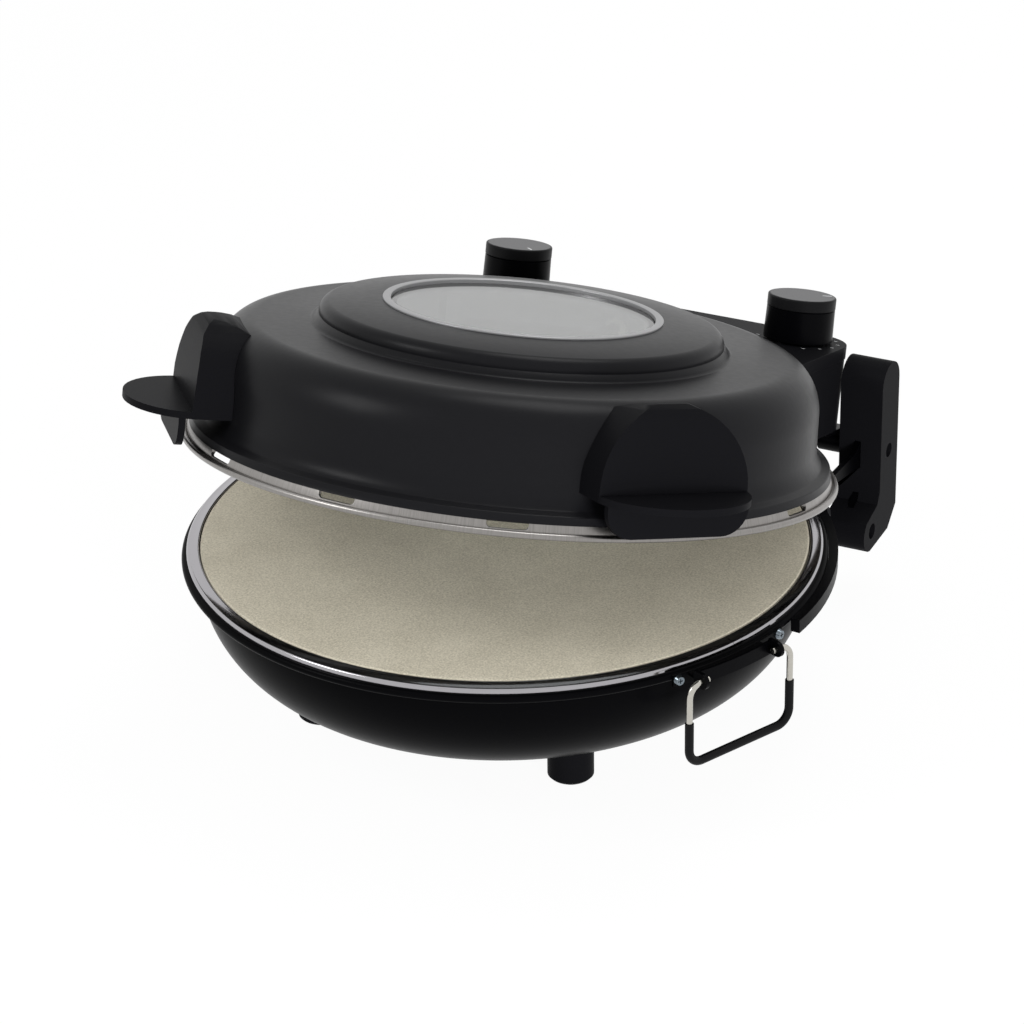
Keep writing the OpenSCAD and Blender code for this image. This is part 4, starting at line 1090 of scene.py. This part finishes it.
@dataclass
class Knobs(SubAssembly):
    """The two control knobs, with their caps, pointers and printed dials."""

    across: float = 84.0  # Distance of each knob from the middle
    back: float = 169.3  # Distance of each knob from the lid's axis
    radius: float = 18.25  # Radius of a knob
    low: float = 50.8  # Height of a knob's lower edge
    top: float = 74.6  # Height of a cap's rim
    cap: float = 6.2  # Height of a cap
    ease: float = 0.9  # Radius of a cap's upper edge
    wall: float = 2.0  # Thickness of a knob's wall
    spindle: float = 3.1  # Radius of the hole for the spindle
    inlay: float = 0.08  # How far the grey disc of painted sheen on a cap stands above its rim
    steps: int = 128  # Steps round a knob
    panel: float = 50.0  # Height of the panel that the dials are printed on
    marks: int = 13  # Number of marks on a dial
    sweep: float = 300.0  # Angle that a dial covers
    dial_out: float = 3.4  # How far outside the knob the dial's marks lie
    # Angle of each pointer from the right, in degrees.
    pointers: dict[str, float] = field(default_factory=lambda: {"right": 35.0, "left": -40.0})

    def place(self, word: str) -> Matrix:
        """The frame of the right or the left knob, at the height of the lid's lowest edge."""
        return self.oven.lid @ Matrix.Translation(Vector((SIDES[word] * self.across, self.back, 0.0)) * MM)

    def build_knob(self, word: str) -> None:
        """Makes one knob, its cap, the grey disc of painted sheen on the cap's top, and its pointer.

        Args:
            word: Which knob, right or left.
        """
        place, body = self.place(word), f"{word}_knob"
        waist = self.top - self.cap
        skirt = [
            (self.radius + 0.25, self.low + 0.4),
            (self.radius - 0.1, waist - 0.5),
            (self.radius - 0.6, waist - 0.1),
            (self.spindle, waist - 0.1),
            (self.spindle, waist - 5.0),
            (self.radius - self.wall, waist - 3.0),
            (self.radius - self.wall, self.low),
            (self.radius - 0.3, self.low),
        ]
        self.spin(f"knob_{word}_skirt", skirt, place, body, KNOB_PLASTIC, f"knob_{word}", steps=self.steps)
        cap = [
            (0.0, waist),
            (self.radius - 0.3, waist),
            (self.radius, waist + 0.3),
            *arc((self.radius - self.ease, self.top - self.ease), self.ease, 0, 90, 8),
            (0.0, self.top),
        ]
        self.spin(f"knob_{word}_crown", cap, place, body, CAP_PLASTIC, f"knob_cap_{word}", steps=self.steps)
        # The grey disc on the cap's top is painted sheen.
        rim, low, painted_sheen = self.radius - self.ease - 0.1, self.top - 0.3, self.top + self.inlay
        disc = [(0.0, low), (rim, low), (rim, self.top), (rim - 0.1, painted_sheen), (0.0, painted_sheen)]
        self.spin(f"knob_{word}_face", disc, place, body, CAP_TOP_PAINTED_SHEEN, steps=self.steps)
        turn = Matrix.Rotation(math.radians(self.pointers[word]), 4, "Z")
        centre = Matrix.Translation(Vector((self.radius - 4.6, 0.0, painted_sheen + self.inlay)) * MM)
        mark = new_piece(f"knob_{word}_pointer", mark_mesh(5.2, 0.9), place @ turn @ centre)
        self.oven.finish_piece(mark, body, WHITE_INK)

    def build_dials(self) -> None:
        """Prints each knob's ring of marks on the panel."""
        template = new_piece("dial_mark", mark_mesh(2.0, 0.55), Matrix.Identity(4))
        tree, names = scatter_tree()
        inputs = {names["Piece"]: template, names["Finish"]: self.oven.material(WHITE_INK)}
        reach, ink_z = self.radius + self.dial_out, self.panel + 0.04
        for word in SIDES:
            place = self.place(word)
            spots = []
            for i in range(self.marks):
                turn = math.radians(90 - self.sweep / 2 + self.sweep * i / (self.marks - 1))
                spots.append(place @ (Vector((math.cos(turn) * reach, math.sin(turn) * reach, ink_z)) * MM))
            points = facing_mesh(spots, place.to_3x3() @ Vector((0.0, 0.0, 1.0)))
            dial = applied(f"dial_{word}", points, "NODES", inputs, node_group=tree)
            self.oven.finish_piece(dial, "lid", WHITE_INK)
        bpy.data.objects.remove(template)

    def build(self) -> None:
        """Makes both knobs and their dials."""
        for word in SIDES:
            self.build_knob(word)
        self.build_dials()


def mark_mesh(length: float, width: float) -> Work:
    """Makes one flat printed mark with round ends.

    Args:
        length: Its length, in millimetres.
        width: Its width, in millimetres.

    Returns:
        The mark, with its face at height 0.
    """
    half, r, thick = length / 2 - width / 2, width / 2, 0.06
    rim = arc((half, 0.0), r, -90, 90, 6) + arc((-half, 0.0), r, 90, 270, 6)
    work = bmesh.new()
    add_prism(work, [Vector((x, y, -thick)) for x, y in rim], [Vector((x, y, 0.0)) for x, y in rim])
    return work


@dataclass
class Bails(SubAssembly):
    """The two wire bails that hang from the pan's rim, and their brackets."""

    angle: float = 66.5  # Angle of the right bail from the front; the left one is opposite
    pivot_r: float = 176.5  # Distance of the pivot from the pan's axis
    pivot_z: float = 84.0  # Height of the pivot
    half: float = 33.0  # Half the width between the legs
    drop: float = 43.0  # Depth of the lower bar below the pivot
    wire_r: float = 1.6  # Radius of the wire
    sleeve_r: float = 2.2  # Radius of the sleeve
    bend: float = 8.0  # Radius of the lower bends
    top_bend: float = 7.0  # Radius of the upper bends
    ear_in: float = 23.5  # Distance from a bail's middle to the inner face of an ear
    wire_in: float = 2.5  # How far the wire reaches past that face
    sleeve_top: float = 20.0  # How far below the pivot the sleeve starts
    sides: int = 24  # Sides of the wire's cross-section
    bracket_edge: float = 0.25  # Radius of a bracket's rounded edges

    def place(self, word: str) -> Matrix:
        """The frame of the right or the left bail at its pivot.

        Args:
            word: Which bail, right or left.

        Returns:
            The matrix into the row's frame.
        """
        angle = self.angle if word == "right" else self.angle + 180
        pivot = Matrix.Translation(Vector((0.0, -self.pivot_r, self.pivot_z)) * MM)
        return self.oven.base @ Matrix.Rotation(math.radians(angle), 4, "Z") @ pivot

    @staticmethod
    def both_sides(right: Sequence[Point]) -> list[Vector]:
        """Completes a path that starts on the right with its mirror image."""
        return [Vector((x, 0.0, z)) for x, z in [*right, *((-x, z) for x, z in reversed(right))]]

    def lower_half(self, top: float) -> list[Point]:
        """The right leg, from a depth below the pivot, and its bend into the lower bar."""
        bend = arc((self.half - self.bend, self.bend - self.drop), self.bend, 0, -90, 12)
        return [(self.half, -top), *bend]

    def wire_path(self) -> list[Vector]:
        """The whole wire, from one ear round to the other.

        Returns:
            Its points in the bail's frame.
        """
        ear = (self.ear_in - self.wire_in, 0.0)
        corner = arc((self.half - self.top_bend, -self.top_bend), self.top_bend, 90, 0, 10)
        return self.both_sides([ear, *corner, *self.lower_half(self.top_bend + 0.5)])

    def build(self) -> None:
        """Makes both wires, their sleeves and their brackets."""
        tree, names = tube_tree()
        sleeve_path = self.both_sides(self.lower_half(self.sleeve_top))
        for word in SIDES:
            for label, path, radius, finish in (
                ("wire", self.wire_path(), self.wire_r, NICKEL_WIRE),
                ("sleeve", sleeve_path, self.sleeve_r, SLEEVE_RUBBER),
            ):
                inputs = {
                    names["Tube radius"]: radius * MM,
                    names["Sides"]: self.sides,
                    names["Finish"]: self.oven.material(finish),
                }
                line = path_mesh(path, self.place(word))
                piece = applied(f"bail_{word}_{label}", line, "NODES", inputs, node_group=tree)
                self.oven.finish_piece(piece, f"{word}_bail", finish, f"bail_{label}_{word}")
            node = f"bail_bracket_{word}"
            bracket = eased_copy(node, self.bracket_edge, f"bail_{word}_bracket", 2)
            self.oven.finish_piece(bracket, "base", BRACKET_PAINT, node)


@dataclass
class Handles(SubAssembly):
    """The two moulded lid handles."""

    edge: float = 0.8  # Radius of their rounded edges

    def build(self) -> None:
        """Rounds the edges of both handles."""
        for word in SIDES:
            self.ease(f"handle_{word}", self.edge, "lid", PHENOLIC)


@dataclass
class RearStand(SubAssembly):
    """The hinge posts, the yoke and the control housing behind the lid."""

    post_edge: float = 0.9  # Radius of the posts' rounded edges
    plate_edge: float = 0.4  # Radius of the yoke's and the bottom plate's edges
    housing_edge: float = 0.8  # Radius of the housing's edges
    panel_edge: float = 1.4  # Radius of the top panel's edges

    def build(self) -> None:
        """Rounds the edges of the posts, the yoke and the housing."""
        for word in SIDES:
            self.ease(f"hinge_post_{word}", self.post_edge, "base", PHENOLIC)
        self.ease("rear_yoke", self.plate_edge, "base", BRACKET_PAINT)
        self.ease("control_housing", self.housing_edge, "lid", PHENOLIC)
        self.ease("control_panel", self.panel_edge, "lid", PHENOLIC)
        self.ease("housing_base", self.plate_edge, "lid", PHENOLIC)


@dataclass
class Feet(SubAssembly):
    """The four moulded feet under the pan."""

    edge: float = 0.6  # Radius of their rounded edges

    def build(self) -> None:
        """Rounds the edges of the feet."""
        for word in ("front_right", "front_left", "rear_right", "rear_left"):
            self.ease(f"foot_{word}", self.edge, "base", PHENOLIC)


# ---------- The studio ----------


@dataclass
class Studio:
    """The floor, the lamps, the world and the camera."""

    oven: OvenFrame  # The frame that the camera looks at
    azimuth: float = 26.812  # Angle of the camera round from the front, in degrees
    elevation: float = 26.456  # Angle of the camera above the table, in degrees
    roll: float = -0.836  # Turn of the camera about its own line of sight, in degrees
    distance: float = 2054.6  # Distance of the camera from its target
    across: float = 3.684  # How far the target lies right of the pan's axis
    above: float = 12.948  # How far the target lies above the trim ring's plane
    ring_below_stone: float = 2.2  # How far that plane lies below the stone's face
    lens: float = 141.3  # Focal length on a 36 mm wide sensor
    floor_half: float = 6000.0  # Half the floor's width
    floor_drop: float = 0.2  # How far the floor lies below the feet
    shown: float = 0.95  # Share of the floor's look that is plain white where the camera sees it
    room: float = 0.7  # Strength of the world's light on the oven, where its background is 1

    def camera(self) -> None:
        """Makes the camera where the photograph was taken from."""
        turn, lift, roll = (math.radians(a) for a in (self.azimuth, self.elevation, self.roll))
        back = Vector((math.sin(turn) * math.cos(lift), -math.cos(turn) * math.cos(lift), math.sin(lift)))
        level = Vector((math.cos(turn), math.sin(turn), 0.0))
        upright = back.cross(level)
        right = level * math.cos(roll) + upright * math.sin(roll)
        up = upright * math.cos(roll) - level * math.sin(roll)
        centre = self.oven.axis + Vector((0.0, 0.0, self.oven.stone_top - self.ring_below_stone * MM))
        target = centre + (right * self.across + up * self.above) * MM
        data = bpy.data.cameras.new("camera")
        data.lens = self.lens
        data.sensor_width = 36.0
        data.clip_start, data.clip_end = 0.1, 20.0
        facing = Matrix((right, up, back)).transposed().to_4x4()
        holder = in_scene("camera", data)
        holder.matrix_world = Matrix.Translation(target + back * self.distance * MM) @ facing
        bpy.context.scene.camera = holder

    @staticmethod
    def shown_rays(tree: Tree) -> Node:
        """Adds the test for rays that show the background: straight, mirrored or through glass.

        Args:
            tree: The material's or the world's node tree.

        Returns:
            A node that gives 1 for such a ray.
        """
        ray = add_node(tree, "ShaderNodeLightPath").outputs
        straight = {0: ray["Is Camera Ray"], 1: ray["Is Transmission Ray"]}
        first = add_node(tree, MATH, straight, operation="MAXIMUM")
        return add_node(tree, MATH, {0: first, 1: ray["Is Glossy Ray"]}, operation="MAXIMUM")

    def floor(self) -> None:
        """Makes the pale floor, which shows white to the camera and keeps a faint shadow."""
        work = bmesh.new()
        bmesh.ops.create_grid(work, x_segments=1, y_segments=1, size=self.floor_half)
        floor = new_piece("floor", work, Matrix.Translation((0.0, 0.0, -self.floor_drop * MM)))
        material = bpy.data.materials.new("white floor")
        tree = empty_tree(material)
        share = add_node(tree, MATH, {0: self.shown_rays(tree), 1: self.shown}, operation="MULTIPLY")
        paper = add_node(tree, "ShaderNodeBsdfDiffuse", {"Color": linear("#f4f4f4")})
        bright = add_node(tree, "ShaderNodeEmission", {"Color": WHITE, "Strength": 1.0})
        mixed = add_node(tree, "ShaderNodeMixShader", {0: share, 1: paper, 2: bright})
        add_node(tree, "ShaderNodeOutputMaterial", {"Surface": mixed})
        floor.data.materials.append(material)

    def world(self) -> None:
        """Makes a white background that metal and glass mirror, over a dimmer room light."""
        world = bpy.data.worlds.new("studio")
        tree = empty_tree(world)
        levels = {"Factor": self.shown_rays(tree), "A": self.room, "B": 1.0}
        level = add_node(tree, MIX, levels, data_type="FLOAT")
        back = add_node(tree, "ShaderNodeBackground", {"Color": WHITE, "Strength": level})
        add_node(tree, "ShaderNodeOutputWorld", {"Surface": back})
        bpy.context.scene.world = world

    @staticmethod
    def lamp(name: str, place: Vector, size: float, power: float, mirrored: bool = True) -> None:
        """Makes one soft, square lamp that points at the oven.

        Args:
            name: The lamp's name.
            place: Where it hangs, in metres.
            size: Its width, in metres.
            power: Its power, in watts.
            mirrored: Whether glossy surfaces show it.
        """
        data = bpy.data.lights.new(name, "AREA")
        data.size = size
        data.energy = power
        holder = in_scene(name, data)
        holder.visible_glossy = mirrored
        aim = Vector((0.0, 0.0, 0.1)) - place
        holder.matrix_world = Matrix.Translation(place) @ aim.to_track_quat("-Z", "Y").to_matrix().to_4x4()

    def build(self) -> None:
        """Makes the camera, the floor, the world and the lamps."""
        self.camera()
        self.floor()
        self.world()
        self.lamp("key", Vector((-1.2, -1.2, 1.5)), 0.7, 12.0)
        self.lamp("top", Vector((0.1, 0.7, 1.9)), 0.9, 12.0)
        self.lamp("low", Vector((1.5, -1.4, 0.42)), 0.5, 50.0, mirrored=False)
        bpy.context.scene.view_settings.view_transform = "Standard"


def dress_the_rest(oven: OvenFrame) -> None:
    """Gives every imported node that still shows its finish.

    Args:
        oven: The frame with the nodes.
    """
    slots = {part["node"]: part["material_slot"] for part in oven.record["subparts"]}
    for name, node in oven.nodes.items():
        node.data.materials.clear()
        node.data.materials.append(oven.material(FINISHES[slots[name]]))


def main() -> None:
    """Loads the frame, makes every piece and lights the scene."""
    logging.basicConfig(level=logging.INFO, format="%(name)s: %(message)s")
    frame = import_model()
    oven = OvenFrame(frame["record"], frame["nodes"])
    Studio(oven).build()
    for kind in (Pan, LidShell, LidBand, Window, Knobs, Bails, Handles, RearStand, Feet):
        LOG.info("building %s", kind.__name__)
        kind(oven).build()
    dress_the_rest(oven)


if __name__ == "__main__":
    main()
